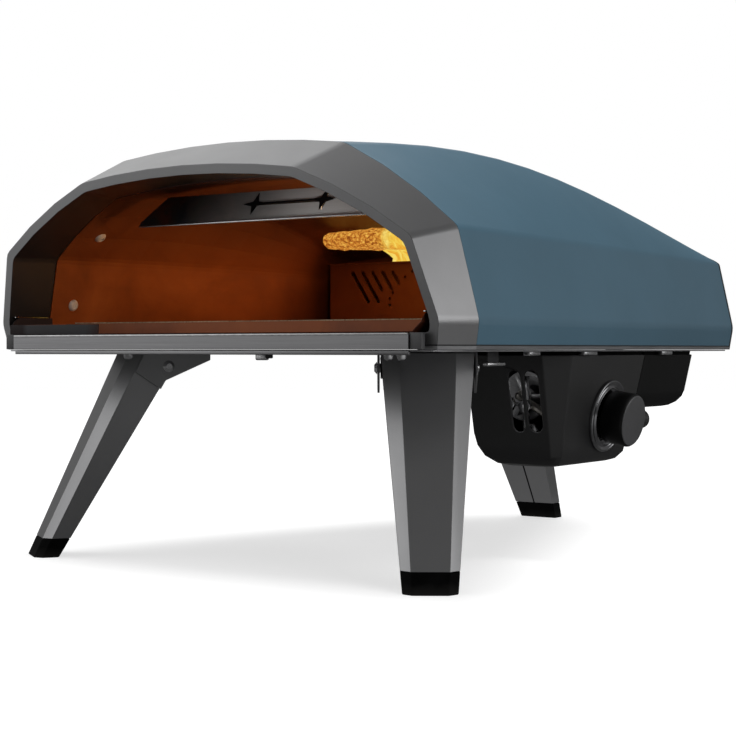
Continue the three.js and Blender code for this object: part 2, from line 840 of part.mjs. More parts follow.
// A thin expansion slot through the face that ends in a star at each side.
function starSlot() {
  const middle = deflectorTop - slotDrop;
  const star = (x) =>
    Array.from({ length: 2 * starPoints }, (_, i) => {
      const reach = i % 2 ? slotStarWaist : slotStarReach;
      const angle = (i * Math.PI) / starPoints;
      return [x + reach * Math.cos(angle), middle + reach * Math.sin(angle)];
    });
  const from = deflectorFoot - overrun;
  const to = deflectorHead + deflectorSheet + fit;
  const bar = slotShape(slotOffset, middle, slotLineWidth, slotSpan, Math.PI / 2);
  const ends = [-1, 1].map((side) => facePlate(star(slotOffset + (side * slotSpan) / 2), from, to));
  return join(facePlate(bar, from, to, slotSteps), ...ends);
}

const deflectorScrewPlaces = [-1, 0, 1].map((place) => [
  place * deflectorScrewPitch,
  deflectorHead + deflectorFlange / 2,
]);

function deflectorScrewHoles() {
  return deflectorScrewPlaces.map(([x, y]) =>
    rod([x, y, deflectorTop - overrun], [x, y, deflectorTop + overrun], screwShankRadius + fit),
  );
}

// A pan-head screw pointing up +Z, with its head's seat at its origin.
function screw(length) {
  const r = screwHeadRadius;
  const profile = [
    [0, -screwHeadHeight],
    [r * screwCrownShare, -screwHeadHeight],
    [r, -screwHeadHeight * screwCrownShare],
    [r, 0],
    [screwShankRadius, 0],
    [screwShankRadius, length],
    [0, length],
  ];
  return turned(profile, screwSides);
}

// Fibre blanket wrapped over the chamber, and the pad behind its rear wall.
const fibreInset = { wall: sheet + fibreGap };

function blanket() {
  const from = linerFront + fibreEndGap;
  const to = linerRear - fibreEndGap;
  const skin = loft(shellRings(from, to, fibreInset, 0, 0, 0));
  const hollow = loft(shellRings(from, to, chamberInset(-fibreGap), overrun, overrun, 0));
  const half = tailWidth / 2 - shellFlange;
  const gap = block([-half, 0, baseHeight - overrun], [half, shellRear, linerFloor]);
  return cut(skin, hollow, gap);
}

function rearPad() {
  const from = linerRear + fibreGap;
  return loft(shellRings(from, from + rearFibreDepth, fibreInset, 0, 0, 0));
}

// Burner

const burnerY = linerRear - sheet - burnerTubeSetback;
const burnerZ = linerFloor + sheet + burnerTubeRise;
const feedX = burnerTubeLength / 2 - feedRadius - burnerTubeWall;
const feedY = burnerY;

// A capped tube with a row of flame ports along its top and its feed hole at the right end.
function burnerTube() {
  const half = burnerTubeLength / 2;
  const outside = rod([-half, burnerY, burnerZ], [half, burnerY, burnerZ], burnerTubeRadius);
  const bore = rod(
    [-half + burnerTubeWall, burnerY, burnerZ],
    [half - burnerTubeWall, burnerY, burnerZ],
    burnerTubeRadius - burnerTubeWall,
  );
  const ports = [];
  const count = Math.floor((burnerTubeLength - 4 * burnerTubeRadius) / portPitch);
  for (let i = 0; i <= count; i++) {
    const x = (i - count / 2) * portPitch;
    ports.push(rod([x, burnerY, burnerZ], [x, burnerY, burnerZ + overrun], portRadius, hexSides));
  }
  const feed = rod([feedX, feedY, burnerZ - overrun], [feedX, feedY, burnerZ], feedRadius - feedWall);
  return cut(outside, bore, ...ports, feed);
}

// The flame guard in front of the burner: hem, face and foot flange, with groups of slanting slots and holes.
function burnerGuard() {
  const low = linerFloor + sheet + fit;
  const high = low + guardHeight;
  const half = guardWidth / 2;
  const line = [
    [guardFront - guardFoot, low],
    [guardFront, low],
    [guardFront, high],
    [guardFront - guardHem, high],
  ];
  const panel = sidePlate(folded(line, guardSheet), -half, half);
  const slotTop = high - guardSlotDrop;
  const openings = [];
  for (let group = 0; group < guardGroups; group++) {
    const start = guardMargin - half + group * guardGroupPitch;
    guardSlotShares.forEach((share, i) => {
      const length = guardSlotHeight * share;
      const x = start + i * guardSlotPitch + (length / 2) * Math.sin(guardSlotTilt);
      const z = slotTop - (length / 2) * Math.cos(guardSlotTilt);
      openings.push([slotShape(x, z, guardSlotWidth, length, -guardSlotTilt), slotSteps]);
    });
    for (const [across, down] of guardHoleShares) {
      const hole = new THREE.Shape();
      const x = start + across * guardSlotPitch;
      const z = slotTop - guardHoleRadius - down * guardSlotHeight;
      hole.absarc(x, z, guardHoleRadius, 0, 2 * Math.PI, false);
      openings.push([hole, arcSteps]);
    }
  }
  const from = guardFront - guardHem / 2;
  return cut(panel, ...openings.map(([shape, steps]) => facePlate(shape, from, guardFront + overrun, steps)));
}

// A bent pipe from the end of the mixing tube, through the base, up to the burner tube.
function burnerRiser() {
  const places = [
    [tubeEnd + fit, venturiZ],
    [feedY - riserBend, venturiZ],
    [feedY, venturiZ],
    [feedY, venturiZ + riserBend],
    [feedY, burnerZ - burnerTubeRadius - fit],
  ];
  const [start, turnFrom, corner, turnTo, end] = places.map(([y, z]) => new THREE.Vector3(feedX, y, z));
  const path = new THREE.CurvePath();
  path.add(new THREE.LineCurve3(start, turnFrom));
  path.add(new THREE.QuadraticBezierCurve3(turnFrom, corner, turnTo));
  path.add(new THREE.LineCurve3(turnTo, end));
  const ring = new THREE.Shape().absarc(0, 0, feedRadius, 0, 2 * Math.PI, false);
  ring.holes.push(new THREE.Path().absarc(0, 0, feedRadius - feedWall, 0, 2 * Math.PI, true));
  const options = { steps: riserSteps, extrudePath: path, curveSegments: hexSides };
  return solid(new THREE.ExtrudeGeometry(ring, options));
}

// A thin rod in a ceramic collar: one lights the gas and one feels the flame.
function probe(x) {
  const low = linerFloor + sheet + fit;
  const y = guardFront + fit + probeCollarRadius;
  return join(
    rod([x, y, low], [x, y, low + probeCollarHeight], probeCollarRadius, smallSides),
    rod([x, y, low], [x, y, low + probeHeight], probeRadius, hexSides),
  );
}

// Control housing

const housingTop = baseHeight - fit - panThickness - housingTopGap;
const housingRear = housingFront + housingLength;
const housingInner = housingOuter - housingWidth;
const housingFloor = housingTop - housingDrop;

// A tub's level section at a height, moved in by a distance: its walls lean in and its lower edges are round.
function tubSection(form, height, inwards) {
  const drop = form.high - height;
  const rise = height - form.low - inwards;
  const round = (radius) => {
    const rest = Math.max(0, radius - inwards);
    return inwards + rest - Math.sqrt(rest ** 2 - Math.max(0, rest - rise) ** 2);
  };
  const inner = form.inner + round(form.innerCorner);
  const outer = form.outer - drop * Math.tan(sideLean) - round(form.outerCorner);
  const front = form.front + drop * Math.tan(form.frontLean) + round(form.frontCorner);
  const rear = form.rear - drop * Math.tan(form.rearLean) - round(form.outerCorner);
  const chamfer = form.chamferAt(height) - inwards * (2 - Math.SQRT2);
  const outerFront = form.chamfered ? [[outer - chamfer, front], [outer, front + chamfer]] : [[outer, front]];
  const corners = [[inner, front], ...outerFront, [outer, rear], [inner, rear]];
  return corners.map(([x, y]) => new THREE.Vector3(x, y, height));
}

function tub(form, high, inwards = 0) {
  const radius = form.innerCorner - inwards;
  const floor = form.low + inwards;
  const turns = Array.from({ length: tubSteps + 1 }, (_, step) => (step / tubSteps) * (Math.PI / 2));
  const heights = [high, ...turns.map((turn) => floor + radius * (1 - Math.sin(turn)))];
  return loft(heights.map((height) => tubSection(form, height, inwards)));
}

const housingForm = {
  high: housingTop,
  low: housingFloor,
  inner: housingInner,
  outer: housingOuter,
  front: housingFront,
  rear: housingRear,
  frontLean,
  rearLean: sideLean,
  innerCorner: housingInnerCorner,
  outerCorner: housingOuterCorner,
  frontCorner: housingOuterCorner,
  chamfered: true,
  chamferAt: (height) => mix(housingTopChamfer, housingLowChamfer, (housingTop - height) / housingDrop),
};

const housingSideAt = (height) => housingOuter - (housingTop - height) * Math.tan(sideLean);
const housingRearAt = (height) => housingRear - (housingTop - height) * Math.tan(sideLean);

function controlHousing() {
  const slots = [];
  let edge = housingOuter - housingTopChamfer - grilleSlotEdge;
  const slotMiddle = housingTop - grilleSlotDrop - grilleSlotHeight / 2;
  for (const width of [...grilleSlotWidths].reverse()) {
    const shape = slotShape(edge - width / 2, slotMiddle, width, grilleSlotHeight);
    slots.push(facePlate(shape, housingFront - overrun, housingFront + overrun));
    edge -= width + grilleSlotGap;
  }
  const tubeHole = rod(
    [venturiX, housingRear - overrun, venturiZ],
    [venturiX, housingRear + overrun, venturiZ],
    venturiThroatRadius + runningFit,
    roundSides,
  );
  const stemHole = rod(onDial(-overrun, 0, 0), onDial(overrun, 0, 0), stemRadius + runningFit);
  const inletHole = rod(
    [inletX, housingRear - overrun, inletZ],
    [inletX, housingRear + overrun, inletZ],
    inletHexRadius + runningFit,
  );
  const inside = tub(housingForm, housingTop + overrun, housingWall);
  return cut(tub(housingForm, housingTop), inside, ...slots, stemHole, inletHole, tubeHole);
}

// The shallower tub behind the controls, which covers the mixing tube's bend.
function tailBox() {
  const front = housingRear + fit;
  const form = {
    high: housingTop,
    low: housingTop - tailBoxDrop,
    inner: housingOuter - tailBoxWidth,
    outer: housingOuter,
    front,
    rear: front + tailBoxLength,
    frontLean: -sideLean,
    rearLean: tailLean,
    innerCorner: tailBoxCorner,
    outerCorner: tailBoxCorner,
    frontCorner: 0,
    chamfered: false,
    chamferAt: () => 0,
  };
  const tubeHole = rod(
    [venturiX, front - overrun, venturiZ],
    [venturiX, front + housingWall + weld, venturiZ],
    venturiThroatRadius + runningFit,
    roundSides,
  );
  return cut(tub(form, housingTop), tub(form, housingTop + overrun, housingWall), tubeHole);
}

// Gas train

const dialY = housingFront + dialSetback;
const dialZ = housingTop - dialDrop;
const dialPlace = new THREE.Matrix4()
  .makeRotationY(sideLean)
  .setPosition(housingSideAt(dialZ), dialY, dialZ);
const onDial = (x, y, z) => new THREE.Vector3(x, y, z).applyMatrix4(dialPlace).toArray();
const inletZ = housingTop - inletDrop;
const inletX = housingSideAt(inletZ) - inletInset;
const inletStart = housingRearAt(inletZ + inletRadius) + fit;
const inletHexFront = housingRearAt(inletZ) - housingWall - inletHexLength;
const venturiX = feedX;
const venturiZ = housingTop - venturiDrop;
const tubeEnd = housingRear + fit + housingWall + fit;
const bellFront = housingFront + housingWall + venturiMouthSetback;
const valveOuter = -housingWall - valveBoss;
const valveInner = valveOuter - valveDepth;
const [portX, , portZ] = onDial((valveOuter + valveInner) / 2, 0, 0);

// The bell-mouthed mixing tube, with a three-armed spider across its mouth, along +Y.
function mixingTube() {
  const w = venturiWall;
  const bell = (share) => mix(venturiMouthRadius, venturiThroatRadius, Math.sin((share * Math.PI) / 2));
  const steps = Array.from({ length: bellSteps + 1 }, (_, step) => step / bellSteps);
  const outside = steps.map((share) => [bell(share), share * venturiBellLength]);
  const inside = steps.map((share) => [bell(share) - w, share * venturiBellLength]);
  const length = tubeEnd - bellFront;
  const profile = [
    ...inside,
    [venturiThroatRadius - w, length],
    [venturiThroatRadius, length],
    ...outside.reverse(),
    inside[0],
  ];
  const tube = turned(profile, roundSides);
  const reach = venturiMouthRadius - w / 2;
  const arms = spiderTurns.map((angle) =>
    rod(
      [0, 0, spiderArm / 2],
      [reach * Math.cos(angle), reach * Math.sin(angle), spiderArm / 2],
      spiderArm / 2,
      hexSides,
    ),
  );
  const hub = rod([0, 0, 0], [0, 0, spiderHub], spiderHub, smallSides);
  return join(tube, hub, ...arms);
}

// The valve lies behind the dial, in the dial's own leaning frame.
function gasValve() {
  const body = block(
    [valveInner, -valveLength / 2, -valveHeight / 2],
    [valveOuter, valveLength / 2, valveHeight / 2],
  );
  const boss = rod([valveOuter, 0, 0], [-housingWall - fit, 0, 0], valveBossRadius);
  const stemBore = rod([valveInner + sheet, 0, 0], [overrun, 0, 0], stemRadius + runningFit);
  const plugBore = rod(
    [valveInner + sheet, 0, 0],
    [valveOuter - sheet, 0, 0],
    plugRadius + runningFit,
    roundSides,
  );
  return cut(join(body, boss), stemBore, plugBore);
}

// The plug that turns in the valve, with the stem sliding in its D-shaped socket.
function valvePlug() {
  const right = valveOuter - sheet - fit;
  const left = right - valveDepth + 2 * sheet + 2 * fit;
  const plug = rod([left, 0, 0], [right, 0, 0], plugRadius, roundSides);
  return cut(plug, stemProfile(left + sheet, right + overrun, pinFit));
}

// A pipe through corners, with a ball at each bend.
function pipe(corners, radius) {
  const lengths = corners.slice(1).map((corner, i) => rod(corners[i], corner, radius, screwSides));
  const balls = corners.slice(1, -1).map((corner) => {
    const ball = new THREE.SphereGeometry(radius * elbowShare, screwSides, hexSides);
    return solid(ball.translate(...corner));
  });
  return join(...lengths, ...balls);
}

// The jet pipe: forwards from the valve, across in front of the bell, and back into its spider.
function injector() {
  const start = dialY - valveLength / 2 - fit;
  const ahead = bellFront - injectorAhead;
  const end = bellFront - fit;
  const line = pipe(
    [[portX, start, portZ], [portX, ahead, portZ], [venturiX, ahead, venturiZ], [venturiX, end, venturiZ]],
    injectorRadius,
  );
  const nutEnd = [portX, start - injectorHexLength, portZ];
  const nut = rod([portX, start, portZ], nutEnd, injectorHexRadius, hexSides);
  const jetFrom = [venturiX, end - injectorHexLength / 2, venturiZ];
  const jet = rod(jetFrom, [venturiX, end, venturiZ], injectorHexRadius, hexSides);
  return join(line, nut, jet);
}

// From the gas inlet to the back of the valve.
function supplyPipe() {
  const start = dialY + valveLength / 2 + fit;
  const end = inletHexFront - fit;
  return pipe(
    [
      [portX, start, portZ],
      [portX, start + supplyBend, portZ],
      [inletX, end - supplyBend, inletZ],
      [inletX, end, inletZ],
    ],
    supplyRadius,
  );
}

// Hose tail: a hex inside the housing and a threaded spigot that points to the rear, bored through.
function gasInlet() {
  const end = inletStart + inletLength;
  const hex = rod([inletX, inletHexFront, inletZ], [inletX, inletStart, inletZ], inletHexRadius, hexSides);
  const spigot = rod([inletX, inletStart, inletZ], [inletX, end, inletZ], inletRadius, roundSides);
  const bore = rod([inletX, inletHexFront - overrun, inletZ], [inletX, end + overrun, inletZ], inletBore);
  return cut(join(hex, spigot), bore);
}

// Dial pieces, each turned about its own axis and then laid along +X.

const stemStart = valveOuter - sheet - fit - plugGrip;
const stemEnd = dialReach - stemCover;

// A round rod with a flat along its top, which a clearance makes larger all round.
function stemProfile(from, to, clearance) {
  const shaft = rod([from, 0, 0], [to, 0, 0], stemRadius + clearance);
  const width = stemRadius + overrun;
  const flat = block(
    [from - overrun, -width, stemRadius - stemFlat + clearance],
    [to + overrun, width, stemRadius + overrun],
  );
  return cut(shaft, flat);
}

function dialStem() {
  return stemProfile(stemStart, stemEnd, 0);
}

function alongX(body) {
  const matrix = new THREE.Matrix4().makeBasis(
    new THREE.Vector3(0, 1, 0),
    new THREE.Vector3(0, 0, 1),
    new THREE.Vector3(1, 0, 0),
  );
  const { vertProperties, triVerts } = body.getMesh();
  const geometry = new THREE.BufferGeometry();
  geometry.setAttribute("position", new THREE.BufferAttribute(vertProperties, 3));
  geometry.setIndex(new THREE.BufferAttribute(triVerts, 1));
  return solid(geometry.applyMatrix4(matrix));
}

function dialKnob() {
  const start = dialStandOff;
  const capStart = dialReach - dialCapLength;
  const profile = [
    [0, start],
    [dialSkirtRadius - dialEdge, start],
    [dialSkirtRadius, start + dialEdge],
    [dialSkirtRadius, start + dialSkirtLength],
    [dialWaistRadius, start + dialSkirtLength + dialEdge],
    [dialWaistRadius, capStart - dialEdge],
    [dialCapRadius, capStart],
    [dialCapRadius, dialReach - dialEdge - sheet],
    [dialCapRadius - dialEdge, dialReach - sheet],
    [0, dialReach - sheet],
  ];
  return cut(alongX(turned(profile)), stemProfile(start - overrun, stemEnd + fit, pinFit));
}

function dialCap() {
  const start = dialReach - sheet + pinFit;
  const radius = dialCapRadius - dialEdge;
  const profile = [
    [0, start],
    [radius, start],
    [radius, dialReach - dialPointerDepth],
    [radius - dialPointerDepth, dialReach],
    [0, dialReach],
  ];
  const groove = block(
    [dialReach - dialPointerDepth, -dialPointerWidth / 2, radius / 2],
    [dialReach + overrun, dialPointerWidth / 2, radius + overrun],
  );
  return cut(alongX(turned(profile)), groove);
}

function dialBezel() {
  const hole = dialSkirtRadius + runningFit;
  const profile = [
    [stemRadius + runningFit, fit],
    [bezelRadius, fit],
    [bezelRadius, bezelLip - dialEdge],
    [bezelRadius - dialEdge, bezelLip],
    [hole + dialEdge, bezelLip],
    [hole, bezelLip - dialEdge],
    [hole, bezelPlate],
    [stemRadius + runningFit, bezelPlate],
    [stemRadius + runningFit, fit],
  ];
  return alongX(turned(profile));
}

// Legs

const panUnderside = baseHeight - fit - panThickness;
const bracketTop = panUnderside - fit;
const bracketUnderside = bracketTop - bracketSheet;
const pivotHeight = panUnderside - pivotDrop;
const pivotReach = legFootDepth / 2 + legRun - pivotInset;
const legTop = bracketUnderside - legTopGap;
const legHead = panUnderside - legTopGap;
const rearFootSetback = shellRear + rearFootReach;

// The leg's level section at a height, moved in by a distance: flat outer face, chamfers, sides, inner face.
function legSection(height, inwards) {
  const share = height / pivotHeight;
  const inner = legFootDepth / 2 + share * legRun - inwards;
  const outer = inner + 2 * inwards - mix(legFootDepth, legTopDepth, share);
  const half = mix(legFootWidth, legTopWidth, share) / 2 - inwards;
  const faceHalf = mix(legFootFace, legTopFace, share) / 2 - inwards / 2;
  const chamfer = mix(legFootChamfer, legTopChamfer, share) - inwards / 2;
  const right = [[outer, faceHalf], [outer + chamfer, half], [inner, half]];
  const left = right.map(([u, v]) => [u, -v]).reverse();
  return [...right, ...left].map(([u, v]) => new THREE.Vector3(u, v, height));
}

const legSideStart = (height) => legSection(height, 0)[1].x;
const legInnerAt = (height) => legSection(height, 0)[2].x;
const legHalfTop = legSection(legTop, 0)[1].y;
const legOpenFrom = pivotHeight - legOpenRise / 2;

// A level strip across the leg's inner side at a height, from a place in the hollow out through the lips.
function legGap(height, from, half) {
  const reach = legInnerAt(height) + overrun;
  const corners = [[from, half], [reach, half], [reach, -half], [from, -half]];
  return corners.map(([u, v]) => new THREE.Vector3(u, v, height));
}

// Sheet folded to a tapering box, with its seam along the inner side, open behind the bracket's web.
function leg() {
  const skin = loft([legSection(footHeight + fit, 0), legSection(legHead, 0)]);
  const hollow = loft([legSection(footHeight - overrun, legSheet), legSection(legHead + overrun, legSheet)]);
  const seamAt = (height) => legGap(height, legInnerAt(height) - 2 * legSheet, legSeam / 2);
  const seam = loft([seamAt(footHeight - overrun), seamAt(legHead + overrun)]);
  const openAt = (height) => legGap(height, legSideStart(height), legSection(height, legSheet)[1].y);
  const opening = loft([openAt(legOpenFrom), openAt(legHead + overrun)]);
  const webRelief = block(
    [legSideStart(bracketTop) - runningFit, -legTopWidth, legTop],
    [pivotReach + 2 * overrun, legTopWidth, legHead + overrun],
  );
  const topRelief = block(
    [pivotReach - sheet, -legTopWidth, pivotHeight],
    [pivotReach + 2 * overrun, legTopWidth, legTop + overrun],
  );
  const shellOfLeg = cut(skin, hollow, seam, opening, webRelief, topRelief);
  const earInner = legSection(legOpenFrom, legSheet)[1].y - legSheet / 2;
  const ears = [-1, 1].map((side) =>
    rod(
      [pivotReach, side * legHalfTop, pivotHeight],
      [pivotReach, side * earInner, pivotHeight],
      earRadius,
      roundSides,
    ),
  );
  const pinHole = rod(
    [pivotReach, -legTopWidth, pivotHeight],
    [pivotReach, legTopWidth, pivotHeight],
    pinRadius + runningFit,
  );
  return cut(join(shellOfLeg, ...ears), pinHole);
}

// A rubber plug that ends the leg and grips inside it.
function foot() {
  const sole = loft([legSection(0, 0), legSection(footHeight, 0)]);
  const gripAt = (height) => legSection(height, legSheet + runningFit);
  return join(sole, loft([gripAt(footHeight - sheet), gripAt(footHeight + footGrip)]));
}

const cheekInner = legHalfTop + runningFit;
const cheekOuter = cheekInner + bracketSheet;
const pinReach = cheekOuter + fit;

// The fixed bracket: a web under the pan and a gusseted cheek each side of the leg.
function legBracket() {
  const frontLevel = pivotHeight - bracketFrontDrop;
  const kneeLevel = pivotHeight - bracketKneeDrop;
  const lowLevel = legOpenFrom - bracketSheet;
  const tip = pivotReach + bracketReach;
  const cheekShape = [
    [legSideStart(bracketTop), bracketTop],
    [legSideStart(frontLevel), frontLevel],
    [legInnerAt(lowLevel), lowLevel],
    [legInnerAt(kneeLevel), kneeLevel],
    [tip, bracketTop - bracketTipDrop],
    [tip, bracketTop],
  ];
  const cheeks = [-1, 1].map((side) => {
    const [a, b] = [side * cheekInner, side * cheekOuter].sort((m, n) => m - n);
    return facePlate(cheekShape, a, b);
  });
  const web = block([legSideStart(bracketTop), -cheekOuter, bracketUnderside], [tip, cheekOuter, bracketTop]);
  const pinHole = rod(
    [pivotReach, -cheekOuter - overrun, pivotHeight],
    [pivotReach, cheekOuter + overrun, pivotHeight],
    pinRadius + pinFit,
  );
  const screwHoles = bracketScrewPlaces.map(([u, v]) =>
    rod([u, v, bracketUnderside - overrun], [u, v, bracketTop + overrun], screwShankRadius + fit),
  );
  return cut(join(web, ...cheeks), pinHole, ...screwHoles);
}

const bracketScrewPlaces = [-1, 1].map((side) => [pivotReach + bracketReach / 2, (side * legHalfTop) / 2]);

function pivotPin() {
  const shaft = rod([0, -pinReach, 0], [0, pinReach, 0], pinRadius);
  const heads = [-1, 1].map((side) =>
    rod(
      [0, side * pinReach, 0],
      [0, side * (pinReach + pinHeadHeight), 0],
      pinHeadRadius,
      smallSides,
      pinHeadRadius / 2,
    ),
  );
  return join(shaft, ...heads);
}

// Assembly

function at(mesh, x, y, z) {
  mesh.position.set(x, y, z);
  return mesh;
}

function legAssembly(label, x, y, turn) {
  const group = new THREE.Group();
  group.position.set(x, y, 0);
  group.rotation.z = turn;
  group.add(
    piece(`${label}_leg`, leg(), materials.legPaint),
    piece(`${label}_foot`, foot(), materials.rubber),
    piece(`${label}_leg_bracket`, legBracket(), materials.legPaint),
    at(piece(`${label}_pivot_pin`, pivotPin(), materials.chrome), pivotReach, 0, pivotHeight),
  );
  bracketScrewPlaces.forEach(([u, v], i) => {
    const fastener = piece(`${label}_bracket_screw_${i + 1}`, screw(bracketSheet - fit), materials.chrome);
    group.add(at(fastener, u, v, bracketUnderside - fit));
  });
  return group;
}

function bodyAssembly() {
  const group = new THREE.Group();
  group.add(
    piece("outer_shell", outerShell(), materials.shellPaint),
    piece("front_visor", visor(), materials.visorPaint),
    piece("front_sill", sill(), materials.sillSteel),
    piece("mouth_threshold", threshold(), materials.sillSteel),
    piece("base_pan", basePan(), materials.panSteel),
    piece("rear_panel", rearPanel(), materials.rearPaint),
    piece("fibre_blanket", blanket(), materials.fibre),
    piece("rear_fibre_pad", rearPad(), materials.fibre),
  );
  return group;
}

function chamberAssembly() {
  const group = new THREE.Group();
  group.add(
    piece("chamber_liner", liner(), materials.linerSteel),
    piece("baking_stone", bakingStone(), materials.stone),
    piece("stone_rail_left", stoneRail(-1), materials.panSteel),
    piece("stone_rail_right", stoneRail(1), materials.panSteel),
    piece("flame_deflector", deflector(), materials.sillSteel),
    piece("burner_tube", burnerTube(), materials.panSteel),
    piece("burner_guard", burnerGuard(), materials.linerSteel),
    piece("burner_riser", burnerRiser(), materials.panSteel),
    piece("spark_electrode", probe(feedX - burnerTubeRadius), materials.chrome),
    piece("flame_sensor", probe(feedX - burnerTubeRadius - probeSpacing), materials.chrome),
  );
  deflectorScrewPlaces.forEach(([x, y], i) => {
    const fastener = piece(`deflector_screw_${i + 1}`, screw(deflectorSheet - fit), materials.chrome);
    group.add(at(fastener, x, y, deflectorTop - deflectorSheet - fit));
  });
  return group;
}

function controlAssembly() {
  const group = new THREE.Group();
  const tube = at(piece("mixing_tube", mixingTube(), materials.sillSteel), venturiX, bellFront, venturiZ);
  tube.rotation.x = -Math.PI / 2;
  const dial = new THREE.Group();
  dial.applyMatrix4(dialPlace);
  dial.add(
    piece("gas_valve", gasValve(), materials.brass),
    piece("dial_bezel", dialBezel(), materials.chrome),
    piece("valve_plug", valvePlug(), materials.brass),
    piece("dial_stem", dialStem(), materials.chrome),
    piece("dial_knob", dialKnob(), materials.moulding),
    piece("dial_cap", dialCap(), materials.visorPaint),
  );
  group.add(
    piece("control_housing", controlHousing(), materials.moulding),
    piece("tail_box", tailBox(), materials.moulding),
    piece("gas_injector", injector(), materials.brass),
    piece("supply_pipe", supplyPipe(), materials.brass),
    piece("gas_inlet", gasInlet(), materials.moulding),
    tube,
    dial,
  );
  return group;
}

const oven = new THREE.Group();
oven.add(
  bodyAssembly(),
  chamberAssembly(),
  controlAssembly(),
  legAssembly("front_left", -footSpread, frontFootSetback, Math.PI / 2 - splayAngle),
  legAssembly("front_right", footSpread, frontFootSetback, Math.PI / 2 + splayAngle),
  legAssembly("rear", 0, rearFootSetback, -Math.PI / 2),
);

// The origin is on the table, under the middle of the whole oven.
const frontmost = rimDepth(baseHeight + rimCrestRise + crown);
const rearmost = rearFootSetback + legFootDepth / 2;
oven.position.y = -(frontmost + rearmost) / 2;

export default oven;
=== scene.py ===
"""The looks of a portable gas pizza oven, built around its packed construction, in metres."""
import json
import math

import bmesh
import bpy
from mathutils import Matrix, Vector


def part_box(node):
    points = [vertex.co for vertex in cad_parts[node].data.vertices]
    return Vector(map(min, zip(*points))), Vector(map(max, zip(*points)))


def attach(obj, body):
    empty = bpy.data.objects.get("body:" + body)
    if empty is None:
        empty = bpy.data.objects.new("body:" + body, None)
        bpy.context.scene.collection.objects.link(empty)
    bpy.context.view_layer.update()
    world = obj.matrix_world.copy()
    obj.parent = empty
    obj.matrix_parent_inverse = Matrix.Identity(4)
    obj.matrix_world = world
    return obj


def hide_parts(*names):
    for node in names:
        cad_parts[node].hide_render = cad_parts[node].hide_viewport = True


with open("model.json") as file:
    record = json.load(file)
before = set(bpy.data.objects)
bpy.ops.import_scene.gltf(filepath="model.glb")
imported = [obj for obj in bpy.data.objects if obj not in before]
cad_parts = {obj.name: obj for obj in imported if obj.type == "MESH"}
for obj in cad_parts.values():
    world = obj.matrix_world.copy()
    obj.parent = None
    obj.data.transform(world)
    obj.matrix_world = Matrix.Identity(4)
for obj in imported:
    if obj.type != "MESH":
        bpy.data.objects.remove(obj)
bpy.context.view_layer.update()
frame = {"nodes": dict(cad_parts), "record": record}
nodes = frame["nodes"]
slot_of = {row["node"]: row["material_slot"] for row in frame["record"]["subparts"]}
bodies = frame["record"]["behaviour"]["bodies"]
body_of = {node: body for body, members in bodies.items() for node in members}

MM = 0.001
ORIGIN = (0.0, 0.0, 0.0)
RIGHT = (1.0, 0.0, 0.0)
UP = (0.0, 0.0, 1.0)
DOWN = (0.0, 0.0, -1.0)
FORWARD = (0.0, -1.0, 0.0)
SIDES = [("left", -1), ("right", 1)]

# How meshes are merged, cut, rounded and shaded: distances, angles in degrees, steps and a weight
WELD = 0.00002
FLAT_ANGLE = 0.3
SOFT_ANGLE = 34
LEG_SOFT_ANGLE = 20
SMOOTH_ANGLE = 50
EDGE_STEPS = 2
ROUND_STEPS = 3
BROAD_FACE_WEIGHT = 80
TURNED_SIDES = 64
SCREW_SIDES = 24
NUT_SIDES = 6

# Camera, from the oven's edges in the photograph
IMAGE_SIZE = 736
FOCAL_PIXELS = 1637.3
SENSOR = 36
CAMERA_PLACE = (0.8933, -1.3423, 0.1907)
CAMERA_TURN = 34.56
CAMERA_DROP = 0.67
NEAREST_SEEN = 0.01
FARTHEST_SEEN = 50


def place_camera():
    """Puts the camera where the photograph was taken from."""
    data = bpy.data.cameras.new("photo_camera")
    data.sensor_width = SENSOR
    data.lens = FOCAL_PIXELS / IMAGE_SIZE * SENSOR
    data.clip_start = NEAREST_SEEN
    data.clip_end = FARTHEST_SEEN
    camera = bpy.data.objects.new("photo_camera", data)
    bpy.context.scene.collection.objects.link(camera)
    upright = math.radians(90 - CAMERA_DROP)
    turn = Matrix.Rotation(math.radians(CAMERA_TURN), 4, "Z") @ Matrix.Rotation(upright, 4, "X")
    camera.matrix_world = Matrix.Translation(CAMERA_PLACE) @ turn
    bpy.context.scene.camera = camera


class Value:
    """An output socket, on which arithmetic adds Math nodes."""

    def __init__(self, finish, socket):
        self.finish = finish
        self.socket = socket

    def math(self, operation, *values):
        return self.finish.node("ShaderNodeMath", {"operation": operation}, dict(enumerate(values)))

    def __add__(self, other):
        return self.math("ADD", self, other)

    __radd__ = __add__

    def __sub__(self, other):
        return self.math("SUBTRACT", self, other)

    def __rsub__(self, other):
        return self.math("SUBTRACT", other, self)

    def __mul__(self, other):
        return self.math("MULTIPLY", self, other)

    __rmul__ = __mul__

    def at_least(self, other):
        return self.math("MAXIMUM", self, other)

    def clamp(self):
        return self.math("MINIMUM", self.at_least(0.0), 1.0)


